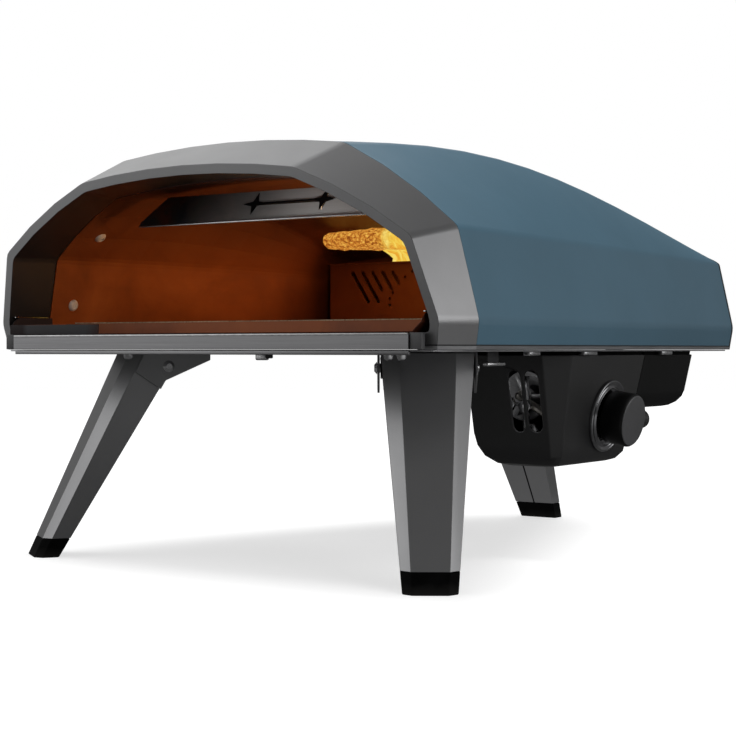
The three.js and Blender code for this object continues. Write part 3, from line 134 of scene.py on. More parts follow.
class Finish:
    """One procedural material, or the studio's surroundings."""

    def __init__(self, name, world=False):
        self.owner = (bpy.data.worlds if world else bpy.data.materials).new(name)
        self.owner.use_nodes = True
        self.tree = self.owner.node_tree
        self.tree.nodes.clear()
        self.place = self.node("ShaderNodeTexCoord", output="Generated" if world else "Object")
        self.end_kind = "ShaderNodeOutputWorld" if world else "ShaderNodeOutputMaterial"

    def node(self, kind, settings=None, inputs=None, output=0):
        """Adds a node of any kind: its settings first, then the values or links of its sockets."""
        node = self.tree.nodes.new(kind)
        for key, value in (settings or {}).items():
            if key == "stops":
                fill_ramp(node.color_ramp, value)
            else:
                setattr(node, key, value)
        for key, value in (inputs or {}).items():
            if isinstance(value, Value):
                self.tree.links.new(value.socket, node.inputs[key])
            else:
                node.inputs[key].default_value = value
        return Value(self, node.outputs[output])

    def axis(self, index):
        """How far along X, Y or Z a point lies."""
        return self.node("ShaderNodeSeparateXYZ", inputs={0: self.place}, output=index)

    def vector(self, operation, first, second, output="Vector"):
        """Works on two directions or places."""
        return self.node("ShaderNodeVectorMath", {"operation": operation}, {0: first, 1: second}, output)

    def reach(self, place):
        """The distance of a point from a place."""
        return self.vector("DISTANCE", self.place, place, "Value")

    def towards(self, direction):
        """How far a point, or a part of the surroundings, lies in a direction."""
        return self.vector("DOT_PRODUCT", self.place, direction, "Value")

    def stretched(self, scale):
        return self.node("ShaderNodeMapping", inputs={"Vector": self.place, "Scale": scale})

    def noise(self, scale, detail=3.0, rough=0.55, stretch=None, warp=0.0):
        place = self.stretched(stretch) if stretch else self.place
        inputs = {"Vector": place, "Scale": scale, "Detail": detail, "Roughness": rough, "Distortion": warp}
        return self.node("ShaderNodeTexNoise", inputs=inputs)

    def cells(self, scale):
        return self.node("ShaderNodeTexVoronoi", inputs={"Vector": self.place, "Scale": scale})

    def ramp(self, factor, *stops):
        return self.node("ShaderNodeValToRGB", {"stops": stops}, {0: factor})

    def band(self, value, low, high, shape="LINEAR"):
        """0 below low, 1 above high, and a slope between."""
        inputs = {"Value": value, "From Min": low, "From Max": high}
        return self.node("ShaderNodeMapRange", {"clamp": True, "interpolation_type": shape}, inputs)

    def mix(self, factor, first, second):
        inputs = {0: factor, 6: opaque(first), 7: opaque(second)}
        return self.node("ShaderNodeMix", {"data_type": "RGBA"}, inputs, 2)

    def bump(self, height, strength, depth):
        return self.node("ShaderNodeBump", inputs={"Height": height, "Strength": strength, "Distance": depth})

    def white_light(self, kind, strength):
        return self.node(kind, inputs={"Color": opaque(WHITE), "Strength": strength})

    def split_by_camera(self, lit, seen):
        """One shader for light and reflections, and another for what the camera sees."""
        camera = self.node("ShaderNodeLightPath", output="Is Camera Ray")
        return self.node("ShaderNodeMixShader", inputs={0: camera, 1: lit, 2: seen})

    def surface(self, **sockets):
        """Ends the material with one Principled shader."""
        inputs = {socket_name(key): opaque(value) for key, value in sockets.items()}
        return self.close(self.node("ShaderNodeBsdfPrincipled", inputs=inputs))

    def close(self, shader):
        end = self.tree.nodes.new(self.end_kind)
        self.tree.links.new(shader.socket, end.inputs["Surface"])
        return self.owner


def socket_name(key):
    """A socket's name in the shader, from the name of an argument."""
    return key.replace("_", " ").title().replace("Ior", "IOR")


def opaque(colour):
    """A colour with its alpha, or the value as it was."""
    return (*colour, 1.0) if isinstance(colour, tuple) and len(colour) == 3 else colour


def scaled(colour, share):
    """A colour made darker or lighter."""
    return tuple(channel * share for channel in colour)


def fill_ramp(ramp, stops):
    """Gives a colour ramp its stops: pairs of a place and a colour."""
    while len(ramp.elements) < len(stops):
        ramp.elements.new(1.0)
    for element, (place, colour) in zip(ramp.elements, stops):
        element.position = place
        element.color = opaque(colour)


# Finishes
WHITE = (1.0, 1.0, 1.0)
GRAPHITE = (0.25, 0.25, 0.254)
MOUTH_MIDDLE = (0.0, -0.28, 0.24)
WITHOUT_DEPTH = (1.0, 0.0, 1.0)


def mouth_shade_and_rim_shadow(f, paint):
    """Painted shade on the visor's faces that look into the mouth, and a painted shadow line where its rim
    turns outwards.
    """
    mouth_shade = (0.026, 0.017, 0.016)
    shadow = (0.01, 0.01, 0.01)
    normal = f.node("ShaderNodeTexCoord", output="Normal")
    forward = f.node("ShaderNodeSeparateXYZ", inputs={0: normal}, output=1)
    from_middle = f.vector("MULTIPLY", f.vector("SUBTRACT", f.place, MOUTH_MIDDLE), WITHOUT_DEPTH)
    outward = f.vector("DOT_PRODUCT", normal, from_middle, "Value")
    # Painted shade: faces that look into the mouth turn towards a dark brown.
    inward = f.band(outward, 0.0, -0.02) * f.band(forward, -0.6, -0.4)
    # Painted shadow: a dark line along the bend where the rim turns outwards.
    rim_shadow_line = f.band(forward, -0.93, -0.85) * f.band(forward, -0.5, -0.6) * (1 - inward)
    return f.mix(rim_shadow_line * 0.9, f.mix(inward * 0.7, paint, mouth_shade), shadow)


def powder_coat(name, colour, tone, rough, metal, grain, with_mouth_shade=False):
    """Baked powder paint: orange peel and faint mottling, and painted shade on the faces inside the mouth."""
    f = Finish(name)
    speck = f.noise(2600.0, detail=2.0)
    mottle = f.band(f.noise(9.0, detail=4.0) * 0.7 + speck * 0.3, 0.35, 0.65)
    base = f.mix(mottle, scaled(colour, 1 - tone), scaled(colour, 1 + tone))
    if with_mouth_shade:
        base = mouth_shade_and_rim_shadow(f, base)
    peel = f.noise(grain, detail=2.0)
    normal = f.bump(peel * 0.8 + speck * 0.2, 0.05, 0.0002)
    roughness = f.noise(14.0, detail=5.0) * 0.14 + (rough - 0.07)
    return f.surface(base_color=base, roughness=roughness, metallic=metal, normal=normal)


def brushed_metal(name, colour, rough, along):
    """Sheet metal brushed along one axis, with faint rolling marks and smudges."""
    f = Finish(name)
    fine, coarse = 900.0, 12.0
    stretch = tuple(coarse if axis == along else fine for axis in range(3))
    lines = f.noise(1.0, rough=0.7, stretch=stretch)
    smudge = f.noise(16.0, detail=4.0, rough=0.6)
    base = f.mix(f.band(lines * 0.6 + smudge * 0.4, 0.3, 0.7), scaled(colour, 0.72), colour)
    normal = f.bump(lines, 0.1, 0.0001)
    return f.surface(base_color=base, roughness=smudge * 0.2 + (rough - 0.1), metallic=0.95, normal=normal)


def tempered_steel():
    """Chamber steel after many firings: straw to copper brown, partly heat tint and partly painted firelight
    glow, and darker towards the rear and roof with painted shade.
    """
    f = Finish("tempered_chamber_steel")
    # The straw to copper browns are partly the steel's heat tint and partly painted firelight glow.
    copper = (0.13, 0.03, 0.008)
    tan = (0.24, 0.06, 0.014)
    straw = (0.36, 0.1, 0.025)
    dark_brown = (0.03, 0.008, 0.004)
    cloud = f.noise(8.0, detail=5.0, rough=0.6, warp=0.4)
    streak = f.noise(1.0, detail=4.0, rough=0.6, stretch=(30.0, 4.0, 60.0))
    heat = f.band(cloud * 0.85 + streak * 0.15, 0.3, 0.7)
    # Painted shade: darker towards the roof and the rear of the chamber.
    roof = f.band(f.axis(2) + cloud * 0.04, 0.285, 0.35)
    rear = f.band(f.axis(1) + cloud * 0.08, 0.02, 0.2)
    painted_shade = (roof * 0.75 + rear * 0.5).clamp()
    base = f.mix(painted_shade, f.ramp(heat, (0.0, copper), (0.5, tan), (1.0, straw)), dark_brown)
    normal = f.bump(streak * 0.4 + cloud * 0.6, 0.1, 0.0004)
    return f.surface(base_color=base, roughness=cloud * 0.25 + 0.38, metallic=0.35, normal=normal)


def threshold_steel():
    """The mouth's floor edge: dark brown in front of the stone, grey and cooler at its left end with a
    painted firelit highlight along its top, and dark at its far left cheek.
    """
    f = Finish("threshold_steel")
    firelit_highlight = (0.2, 0.05, 0.012)
    dark = (0.02, 0.014, 0.014)
    cloud = f.noise(18.0, detail=4.0, rough=0.6)
    left = f.band(f.axis(0) + cloud * 0.01, -0.1, -0.122)
    cheek = f.band(f.axis(0), -0.2, -0.206)
    low = f.band(f.axis(2), 0.2128, 0.2118)
    brown = f.mix(cloud, (0.028, 0.007, 0.003), (0.05, 0.013, 0.005))
    grey = f.mix(cloud, (0.035, 0.034, 0.036), (0.06, 0.058, 0.06))
    # Painted highlight: a firelit orange line along the top at the left end.
    base = f.mix(left, brown, f.mix(cheek, f.mix(low, firelit_highlight, grey), dark))
    normal = f.bump(cloud, 0.05, 0.0003)
    return f.surface(base_color=base, roughness=cloud * 0.2 + 0.55, specular_ior_level=0.12, normal=normal)


def fired_stone():
    """Cordierite: sandy speckle, fine pores and toasted patches."""
    f = Finish("baking_stone_face")
    toast = (0.09, 0.035, 0.015)
    pore_brown = (0.08, 0.05, 0.03)
    grit = f.noise(420.0, detail=4.0, rough=0.7)
    patch = f.noise(14.0, detail=5.0, rough=0.65, warp=0.6)
    pores = f.band(f.cells(260.0), 0.0, 0.25)
    sand = f.ramp(grit, (0.3, (0.3, 0.2, 0.11)), (0.5, (0.48, 0.37, 0.24)), (0.75, (0.62, 0.52, 0.38)))
    base = f.mix(1 - pores, f.mix(f.band(patch, 0.48, 0.72) * 0.75, sand, toast), pore_brown)
    return f.surface(base_color=base, roughness=0.92, normal=f.bump(grit * 0.6 + pores * 0.4, 0.5, 0.0006))


def moulded_plastic(name, shade, rough, grain, strength, shine=0.5):
    """Black moulding with a spark-eroded grain and faint flow marks."""
    f = Finish(name)
    pits = f.noise(grain, rough=0.65)
    flow = f.noise(10.0)
    base = f.mix(f.band(flow, 0.3, 0.7), (shade * 0.8,) * 3, (shade * 1.25, shade * 1.25, shade * 1.32))
    roughness = pits * 0.14 + flow * 0.1 + (rough - 0.12)
    normal = f.bump(pits, strength, 0.0002)
    return f.surface(base_color=base, roughness=roughness, specular_ior_level=shine, normal=normal)


def deflector_painted_light():
    """Brushed plate under the roof: a painted sheen at its right, and painted shade in blued, brown and rusty
    tones towards its left end.
    """
    f = Finish("deflector_painted_light")
    blued = (0.04, 0.048, 0.058)
    shade_brown = (0.07, 0.045, 0.035)
    rusty = (0.16, 0.04, 0.025)
    lines = f.noise(1.0, rough=0.7, stretch=(14.0, 900.0, 900.0))
    cloud = f.noise(22.0, detail=4.0, rough=0.6, warp=0.5)
    # Painted sheen at the right end and painted shade towards the left: the plate's light and dark halves.
    painted_sheen = f.band(f.axis(0) + cloud * 0.05, -0.06, 0.06)
    bright = f.mix(lines, (0.56, 0.56, 0.55), (0.72, 0.72, 0.7))
    base = f.mix(painted_sheen, f.ramp(cloud, (0.35, blued), (0.5, shade_brown), (0.7, rusty)), bright)
    normal = f.bump(lines, 0.1, 0.0001)
    return f.surface(base_color=base, roughness=cloud * 0.15 + 0.38, metallic=0.45, normal=normal)


def burning_gas():
    """The flame: mottled orange where it curls under the roof, clear yellow where it rises."""
    f = Finish("burning_gas")
    dark_brown = (0.02, 0.008, 0.002)
    ember_red, ember_orange, ember_gold = (0.2, 0.045, 0.006), (0.56, 0.19, 0.022), (0.86, 0.5, 0.09)
    amber, yellow, pale_yellow = (0.8, 0.36, 0.03), (0.86, 0.57, 0.07), (0.95, 0.78, 0.2)
    licks = f.noise(1.0, detail=4.0, rough=0.6, stretch=(130.0, 60.0, 50.0), warp=0.6)
    grains = f.noise(330.0, rough=0.65, warp=0.4)
    embers = f.ramp(grains, (0.36, ember_red), (0.5, ember_orange), (0.66, ember_gold))
    clear = f.ramp(licks, (0.35, amber), (0.5, yellow), (0.7, pale_yellow))
    rear = f.band(f.axis(1) + licks * 0.02, 0.09, 0.12)
    right = f.band(f.axis(0) + licks * 0.03, -0.04, -0.015)
    glow = f.mix(rear.at_least(right), embers, clear)
    roughness = grains * 0.2 + 0.7
    return f.surface(base_color=dark_brown, roughness=roughness, emission_color=glow, emission_strength=1.0)


def foot_rubber():
    """Dense black rubber, chalky where it is handled and dusty near the sole."""
    f = Finish("foot_rubber")
    dust_colour = (0.03, 0.029, 0.027)
    bloom = f.noise(60.0, detail=4.0)
    dust = f.band(f.axis(2) + f.noise(90.0, detail=2.0) * 0.006, 0.012, 0.002) * 0.35
    rubber = f.mix(f.band(bloom, 0.35, 0.75), (0.001, 0.001, 0.001), (0.0025, 0.0025, 0.0026))
    base = f.mix(dust, rubber, dust_colour)
    normal = f.bump(f.noise(1500.0, detail=2.0), 0.2, 0.0002)
    return f.surface(base_color=base, roughness=bloom * 0.2 + 0.6, specular_ior_level=0.04, normal=normal)


def plated_metal(name, colour, rough, metal=1.0):
    """Bright fastener plating with fine scratches."""
    f = Finish(name)
    scratch = f.noise(1.0, detail=2.0, rough=0.8, stretch=(2200.0, 500.0, 900.0))
    haze = f.noise(300.0)
    base = f.mix(f.band(haze, 0.35, 0.7), scaled(colour, 0.75), colour)
    normal = f.bump(scratch, 0.08, 0.0001)
    return f.surface(base_color=base, roughness=scratch * 0.15 + rough, metallic=metal, normal=normal)


def fibre_wool():
    """Loose white ceramic fibre."""
    f = Finish("ceramic_fibre")
    strands = f.noise(1.0, detail=4.0, rough=0.7, stretch=(60.0, 700.0, 300.0))
    base = f.mix(strands, (0.6, 0.57, 0.5), (0.86, 0.85, 0.8))
    return f.surface(base_color=base, roughness=0.95, normal=f.bump(strands, 0.6, 0.001))


# The finish of each material slot
FINISHES = {
    "slate_paint": powder_coat("slate_powder_coat", (0.052, 0.117, 0.165), 0.05, 0.5, 0.0, 700.0),
    "graphite_paint": powder_coat("graphite_powder_coat", GRAPHITE, 0.05, 0.36, 0.88, 700.0),
    "black_paint": powder_coat("black_powder_coat", (0.016, 0.016, 0.018), 0.1, 0.55, 0.1, 900.0),
    "brushed_steel": brushed_metal("brushed_front_steel", (0.24, 0.24, 0.245), 0.36, 0),
    "plain_steel": brushed_metal("aluminised_steel", (0.38, 0.38, 0.39), 0.42, 1),
    "heat_tinted_steel": tempered_steel(),
    "cordierite": fired_stone(),
    "ceramic_fibre": fibre_wool(),
    "black_moulding": moulded_plastic("housing_moulding", 0.011, 0.48, 1400.0, 0.2),
    "gloss_black": moulded_plastic("dial_gloss_moulding", 0.004, 0.2, 700.0, 0.02),
    "foot_rubber": foot_rubber(),
    "brass": plated_metal("nickelled_brass", (0.6, 0.57, 0.52), 0.25),
    "bright_metal": plated_metal("bright_zinc_plate", (0.62, 0.62, 0.63), 0.16),
}

# Finishes of single pieces
# Painted shade: a darker copy of the housing's moulding, for the tail box and the deflector's slot.
SHADE_MOULDING = moulded_plastic("shaded_moulding", 0.004, 0.6, 1400.0, 0.2, 0.15)
DIAL_BLACK = moulded_plastic("dial_side", 0.0015, 0.45, 900.0, 0.05, 0.2)
DIAL_FACE = moulded_plastic("dial_face", 0.056, 0.4, 900.0, 0.06)
BEZEL_FINISH = plated_metal("gloss_bezel", (0.3, 0.3, 0.31), 0.06)
DEFLECTOR_FINISH = deflector_painted_light()
FLAME_FINISH = burning_gas()
THRESHOLD_FINISH = threshold_steel()
# Painted highlight: pale, half-diffuse screw heads that stand in for their glints.
RIVET_FINISH = plated_metal("mouth_rivets_painted_highlight", (0.8, 0.74, 0.7), 0.3, 0.5)
# Painted highlight: brighter steel for the sill's top edge.
SILL_HIGHLIGHT_FINISH = plated_metal("sill_edge_painted_highlight", (0.55, 0.55, 0.55), 0.3, 0.8)
VISOR_FINISH = powder_coat("graphite_visor_coat", GRAPHITE, 0.05, 0.36, 0.88, 700.0, with_mouth_shade=True)
# Painted shade: a darker copy of the graphite paint, for the sill's ends.
SHADED_PAINT = powder_coat("shaded_graphite", (0.07, 0.07, 0.072), 0.05, 0.55, 0.3, 700.0)


def finish_node(node):
    """A carried-over node with its slot's material."""
    data = nodes[node].data
    data.materials.clear()
    data.materials.append(FINISHES[slot_of[node]])


def add_piece(name, shape, body, slot, finish=None):
    """Turns a bmesh into a piece of the oven, on a body and with a slot's finish."""
    data = bpy.data.meshes.new(name)
    shape.to_mesh(data)
    shape.free()
    data.materials.append(finish or FINISHES[slot])
    piece = bpy.data.objects.new(name, data)
    bpy.context.scene.collection.objects.link(piece)
    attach(piece, body)
    return piece


def shade(shape):
    """Shades all but the sharp edges smooth."""
    for face in shape.faces:
        face.smooth = True
    for edge in shape.edges:
        edge.smooth = not edge.is_manifold or edge.calc_face_angle() < math.radians(SMOOTH_ANGLE)


def soften(shape, width, segments=EDGE_STEPS, angle=SOFT_ANGLE):
    """Bevels the sharp edges and shades the rest smooth."""
    limit = math.radians(angle)
    sharp = [edge for edge in shape.edges if edge.is_manifold and edge.calc_face_angle() > limit]
    bmesh.ops.bevel(
        shape, geom=sharp, offset=width, offset_type="OFFSET", segments=segments,
        profile=0.5, affect="EDGES", clamp_overlap=False, material=-1,
    )
    shade(shape)


def weigh_normals(piece):
    """Keeps broad faces flat beside their rounded edges."""
    modifier = piece.modifiers.new("broad_faces", "WEIGHTED_NORMAL")
    modifier.keep_sharp = True
    modifier.weight = BROAD_FACE_WEIGHT


def flat_regions(shape):
    """The groups of neighbouring faces that lie in one plane."""
    seen = set()
    straight = math.cos(math.radians(FLAT_ANGLE))
    for start in shape.faces:
        if start in seen:
            continue
        seen.add(start)
        region, front = {start}, [start]
        while front:
            for edge in front.pop().edges:
                for face in edge.link_faces:
                    if face not in seen and face.normal.dot(start.normal) > straight:
                        seen.add(face)
                        region.add(face)
                        front.append(face)
        yield region


def outline_edges(region):
    """The edges between a region's faces and the others."""
    edges = [edge for face in region for edge in face.edges]
    return [edge for edge in edges if sum(side in region for side in edge.link_faces) == 1]


def has_one_outline(region):
    """Whether a flat region has a single closed edge, and so no hole."""
    rim = outline_edges(region)
    ways = {}
    for edge in rim:
        for vert in edge.verts:
            ways.setdefault(vert, []).append(edge)
    if any(len(edges) != 2 for edges in ways.values()):
        return False
    start = rim[0].verts[0]
    here, last, count = start, None, 0
    while count == 0 or here is not start:
        last = next(edge for edge in ways[here] if edge is not last)
        here = last.other_vert(here)
        count += 1
    return count == len(rim)


def is_straight(vert):
    """Whether a point's two edges go on in one line."""
    first, second = (edge.other_vert(vert).co - vert.co for edge in vert.link_edges)
    return first.angle(second, 0.0) > math.radians(180 - FLAT_ANGLE)


def merge_flats(shape):
    """Joins the triangles of each flat face that has no hole, and drops the points left on straight edges."""
    for region in [region for region in flat_regions(shape) if len(region) > 1 and has_one_outline(region)]:
        bmesh.ops.dissolve_faces(shape, faces=list(region), use_verts=False)
    loose = [vert for vert in shape.verts if len(vert.link_edges) == 2 and is_straight(vert)]
    bmesh.ops.dissolve_verts(shape, verts=loose)


def shape_of(node):
    """A node's mesh, merged and ready to work on."""
    shape = bmesh.new()
    shape.from_mesh(nodes[node].data)
    bmesh.ops.remove_doubles(shape, verts=shape.verts, dist=WELD)
    shape.normal_update()
    return shape


def cut_off(shape, place, direction):
    """Cuts off what lies beyond a plane and closes the cut."""
    parts = shape.verts[:] + shape.edges[:] + shape.faces[:]
    cut = bmesh.ops.bisect_plane(
        shape, geom=parts, dist=WELD / 20, plane_co=place, plane_no=direction, clear_outer=True,
    )
    rim = [part for part in cut["geom_cut"] if isinstance(part, bmesh.types.BMEdge)]
    bmesh.ops.triangle_fill(shape, use_beauty=True, edges=rim)


def dress(node, width, segments=EDGE_STEPS, angle=SOFT_ANGLE, finish=None, drop=0.0):
    """A copy of a node with softly rounded edges and its top lowered, shown in place of the node."""
    shape = shape_of(node)
    top = max(vert.co.z for vert in shape.verts)
    rim = [vert for vert in shape.verts if vert.co.z > top - WELD]
    bmesh.ops.translate(shape, vec=(0.0, 0.0, -drop), verts=rim)
    merge_flats(shape)
    shape.normal_update()
    soften(shape, width, segments, angle)
    piece = add_piece(f"{node}_dressed", shape, body_of[node], slot_of[node], finish)
    weigh_normals(piece)
    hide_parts(node)


def spun(name, profile, place, axis, body, slot, finish=None, segments=TURNED_SIDES):
    """A turned piece: pairs of reach along an axis and radius, in millimetres, spun about that axis."""
    shape = bmesh.new()
    verts = [shape.verts.new((radius * MM, 0.0, reach * MM)) for reach, radius in profile]
    ends = zip(verts, verts[1:] + verts[:1]) if profile[0][1] else zip(verts, verts[1:])
    edges = [shape.edges.new(pair) for pair in ends]
    bmesh.ops.spin(
        shape, geom=verts + edges, cent=ORIGIN, axis=UP, dvec=ORIGIN,
        angle=math.tau, steps=segments, use_merge=True,
    )
    bmesh.ops.remove_doubles(shape, verts=shape.verts, dist=WELD / 10)
    bmesh.ops.recalc_face_normals(shape, faces=shape.faces)
    turn = Vector(axis).to_track_quat("Z", "Y").to_matrix().to_4x4()
    bmesh.ops.transform(shape, matrix=Matrix.Translation(place) @ turn, verts=shape.verts)
    shape.normal_update()
    shade(shape)
    return add_piece(name, shape, body, slot, finish)


def bar(name, low, high, rounding, slot, finish=None):
    """A small bar on the oven between two corners, with rounded edges, all in millimetres."""
    shape = bmesh.new()
    bmesh.ops.create_cube(shape, size=1.0)
    size = [(upper - lower) * MM for lower, upper in zip(low, high)]
    middle = [(upper + lower) / 2 * MM for lower, upper in zip(low, high)]
    bmesh.ops.scale(shape, vec=size, verts=shape.verts)
    bmesh.ops.translate(shape, vec=middle, verts=shape.verts)
    shape.normal_update()
    soften(shape, rounding * MM, ROUND_STEPS)
    add_piece(name, shape, "oven_body", slot, finish)


def band_round(name, node, cuts, slot, spread):
    """A strip that follows a node's outside between planes, a little proud of it."""
    shape = shape_of(node)
    for place, direction in cuts:
        cut_off(shape, place, direction)
    bmesh.ops.scale(shape, vec=(spread, spread, 1.0), verts=shape.verts)
    shape.normal_update()
    shade(shape)
    add_piece(name, shape, body_of[node], slot)


# Studio
ROOM_BELOW, ROOM_ABOVE = 0.12, 0.19
ROOM_CHANGE = 0.3
# Soft panels round the oven: direction, half angle of the core and of the edge, brightness
STUDIO_PANELS = [
    ((-0.57, 0.58, 0.58), 14, 32, 0.88),
    ((0.85, 0.51, 0.11), 11, 24, 2.1),
    ((-0.74, -0.55, 0.38), 18, 38, 1.3),
]
FLOOR_RADIUS = 6.0
FLOOR_SIDES = 96
FLOOR_PAINT = (0.95, 0.95, 0.95)
FLOOR_WHITE = 1.2
FLOOR_GLOW = 0.1
# Brighter pools on the floor: middle, radius of the core and of the edge, brightness
FLOOR_POOLS = [
    ((-1.6, -1.55, 0.0), 0.4, 1.7, 0.5),
    ((0.62, -0.3, 0.0), 0.15, 0.5, 0.4),
    ((-0.01, 0.26, 0.0), 0.06, 0.2, 0.2),
]
# The three sides of the floor between the feet: outward direction and distance from the middle
FEET_SIDES = [((0.0, -1.0, 0.0), 0.24), ((0.939, 0.344, 0.0), 0.09), ((-0.939, 0.344, 0.0), 0.09)]
# How wide the shadows fade beyond the feet, and the share of white between them
SHADOW_FADE = 0.16
WHITE_BETWEEN_FEET = 0.5
EMBER_LIGHT = (1.0, 0.62, 0.32)
FLAME_LIGHT = (1.0, 0.5, 0.2)
# Lamps: name, place, target, width and depth, watts, colour, spread in degrees
LAMPS = [
    ("top_softbox", (-0.3, 0.2, 2.4), (0.0, 0.0, 0.2), (2.0, 2.0), 50.0, WHITE, 180),
    ("side_softbox", (2.4, -0.9, 0.9), (0.0, 0.0, 0.2), (1.4, 1.2), 24.0, WHITE, 180),
    ("mouth_glow", (0.12, -0.19, 0.285), (-0.2, -0.05, 0.25), (0.05, 0.04), 0.45, EMBER_LIGHT, 180),
    ("flame_glow", (-0.05, 0.1, 0.282), (-0.1, -0.1, 0.21), (0.2, 0.03), 0.2, FLAME_LIGHT, 180),
    ("mouth_fill", (0.13, -0.33, 0.22), (0.07, -0.215, 0.315), (0.05, 0.03), 0.032, WHITE, 60),
    ("grille_fill", (0.16, -0.046, 0.166), (0.168, -0.03, 0.12), (0.02, 0.01), 0.12, WHITE, 180),
]


def studio_world():
    """White behind the oven, and for its light and reflections a few broad soft panels in a dim room."""
    f = Finish("studio", world=True)
    glow = f.band(f.axis(2), -ROOM_CHANGE, ROOM_CHANGE) * (ROOM_ABOVE - ROOM_BELOW) + ROOM_BELOW
    for direction, inner, outer, level in STUDIO_PANELS:
        edge, core = math.cos(math.radians(outer)), math.cos(math.radians(inner))
        facing = f.towards(tuple(Vector(direction).normalized()))
        glow = glow + f.band(facing, edge, core, "SMOOTHSTEP") * level
    lit = f.white_light("ShaderNodeBackground", glow)
    seen = f.white_light("ShaderNodeBackground", 1.0)
    bpy.context.scene.world = f.close(f.split_by_camera(lit, seen))


def floor_finish():
    """Soft shadows between the feet and white beyond them, and in reflections a dim glow with pools."""
    f = Finish("studio_floor")
    level = FLOOR_GLOW
    for place, inner, outer, glow in FLOOR_POOLS:
        level = f.band(f.reach(place), outer, inner, "SMOOTHSTEP") * glow + level
    outside = 0.0
    for direction, distance in FEET_SIDES:
        outside = (f.towards(direction) - distance).at_least(outside)
    away = f.band(outside, 0.0, SHADOW_FADE, "SMOOTHSTEP") * (1 - WHITE_BETWEEN_FEET) + WHITE_BETWEEN_FEET
    matt = f.node("ShaderNodeBsdfDiffuse", inputs={"Color": opaque(FLOOR_PAINT)})
    white = f.white_light("ShaderNodeEmission", FLOOR_WHITE)
    seen = f.node("ShaderNodeMixShader", inputs={0: away, 1: matt, 2: white})
    return f.close(f.split_by_camera(f.white_light("ShaderNodeEmission", level), seen))


def studio_floor():
    """A pale round floor under the feet."""
    shape = bmesh.new()
    bmesh.ops.create_circle(shape, cap_ends=True, segments=FLOOR_SIDES, radius=FLOOR_RADIUS)
    data = bpy.data.meshes.new("studio_floor")
    shape.to_mesh(data)
    shape.free()
    data.materials.append(floor_finish())
    floor = bpy.data.objects.new("studio_floor", data)
    bpy.context.scene.collection.objects.link(floor)


def studio_lamp(name, place, target, size, power, colour, spread):
    """A soft rectangular lamp that faces a target, and isn't seen itself."""
    data = bpy.data.lights.new(name, "AREA")
    data.shape = "RECTANGLE"
    data.size, data.size_y = size
    data.energy = power
    data.color = colour
    data.spread = math.radians(spread)
    lamp = bpy.data.objects.new(name, data)
    lamp.location = place
    lamp.rotation_euler = (Vector(target) - Vector(place)).to_track_quat("-Z", "Y").to_euler()
    lamp.visible_glossy = False
    lamp.visible_camera = False
    bpy.context.scene.collection.objects.link(lamp)


def studio():
    """Pale floor, white surroundings and soft lamps."""
    bpy.context.scene.view_settings.view_transform = "Standard"
    studio_world()
    studio_floor()
    for lamp in LAMPS:
        studio_lamp(*lamp)


# Oven sheets, mouldings and legs: their rounding, and how far the housings' rims are lowered for their dark
# seals, which stand in for the shade in those gaps
SHEET_ROUNDING = 0.3 * MM
THIN_ROUNDING = 0.2 * MM
MOULDING_ROUNDING = 1.2 * MM
LEG_ROUNDING = 0.5 * MM
FOOT_ROUNDING = 1.0 * MM
RIM_DROP = 0.0024


def sheets():
    """The oven's sheets and mouldings."""
    dress("outer_shell", SHEET_ROUNDING)
    dress("front_visor", SHEET_ROUNDING, finish=VISOR_FINISH)
    for name in ("front_sill", "rear_panel", "base_pan", "burner_guard"):
        dress(name, THIN_ROUNDING)
    dress("mouth_threshold", THIN_ROUNDING, finish=THRESHOLD_FINISH)
    dress("flame_deflector", THIN_ROUNDING, finish=DEFLECTOR_FINISH)
    dress("control_housing", MOULDING_ROUNDING, ROUND_STEPS, drop=RIM_DROP)
    # The tail box takes the darker moulding as painted shade.
    dress("tail_box", MOULDING_ROUNDING, ROUND_STEPS, finish=SHADE_MOULDING, drop=RIM_DROP)


def legs():
    """The three legs with their feet and brackets."""
    for side in ("front_left", "front_right", "rear"):
        dress(f"{side}_leg", LEG_ROUNDING, angle=LEG_SOFT_ANGLE)
        dress(f"{side}_foot", FOOT_ROUNDING, ROUND_STEPS)
        dress(f"{side}_leg_bracket", LEG_ROUNDING)


# Seals, dark as painted shade in the gaps: where they are cut from the housings, the pan's underside, and
# their size as a share of the rim's
SEAL_LOW = 0.1835
PAN_UNDERSIDE = 0.1885
SEAL_SPREAD = 0.965


def shade_seal_over(node):
    """A dark seal between a housing's rim and the pan above it, painted shade for the gap there."""
    shape = shape_of(node)
    cut_off(shape, (0.0, 0.0, SEAL_LOW), DOWN)
    low, high = (Vector(corner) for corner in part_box(node))
    to_middle = Matrix.Translation((low + high) / -2)
    bmesh.ops.scale(shape, vec=(SEAL_SPREAD, SEAL_SPREAD, 1.0), verts=shape.verts, space=to_middle)
    bmesh.ops.translate(shape, vec=(0.0, 0.0, PAN_UNDERSIDE - high.z), verts=shape.verts)
    shape.normal_update()
    shade(shape)
    # Painted shade: black rubber fills the gap under the pan.
    add_piece(f"{node}_seal", shape, "oven_body", "foot_rubber")


# Hems round shell and visor, and the dark gap above them painted as a band of shade: how high each reaches,
# and how far they spread
HEM_TOP = (0.0, 0.0, 0.1929)
GAP_TOP = (0.0, 0.0, 0.194)
REAR_TRIM_FRONT = (0.0, 0.3038, 0.0)
HEM_SPREAD = 1.0022
GAP_SPREAD = 1.0012


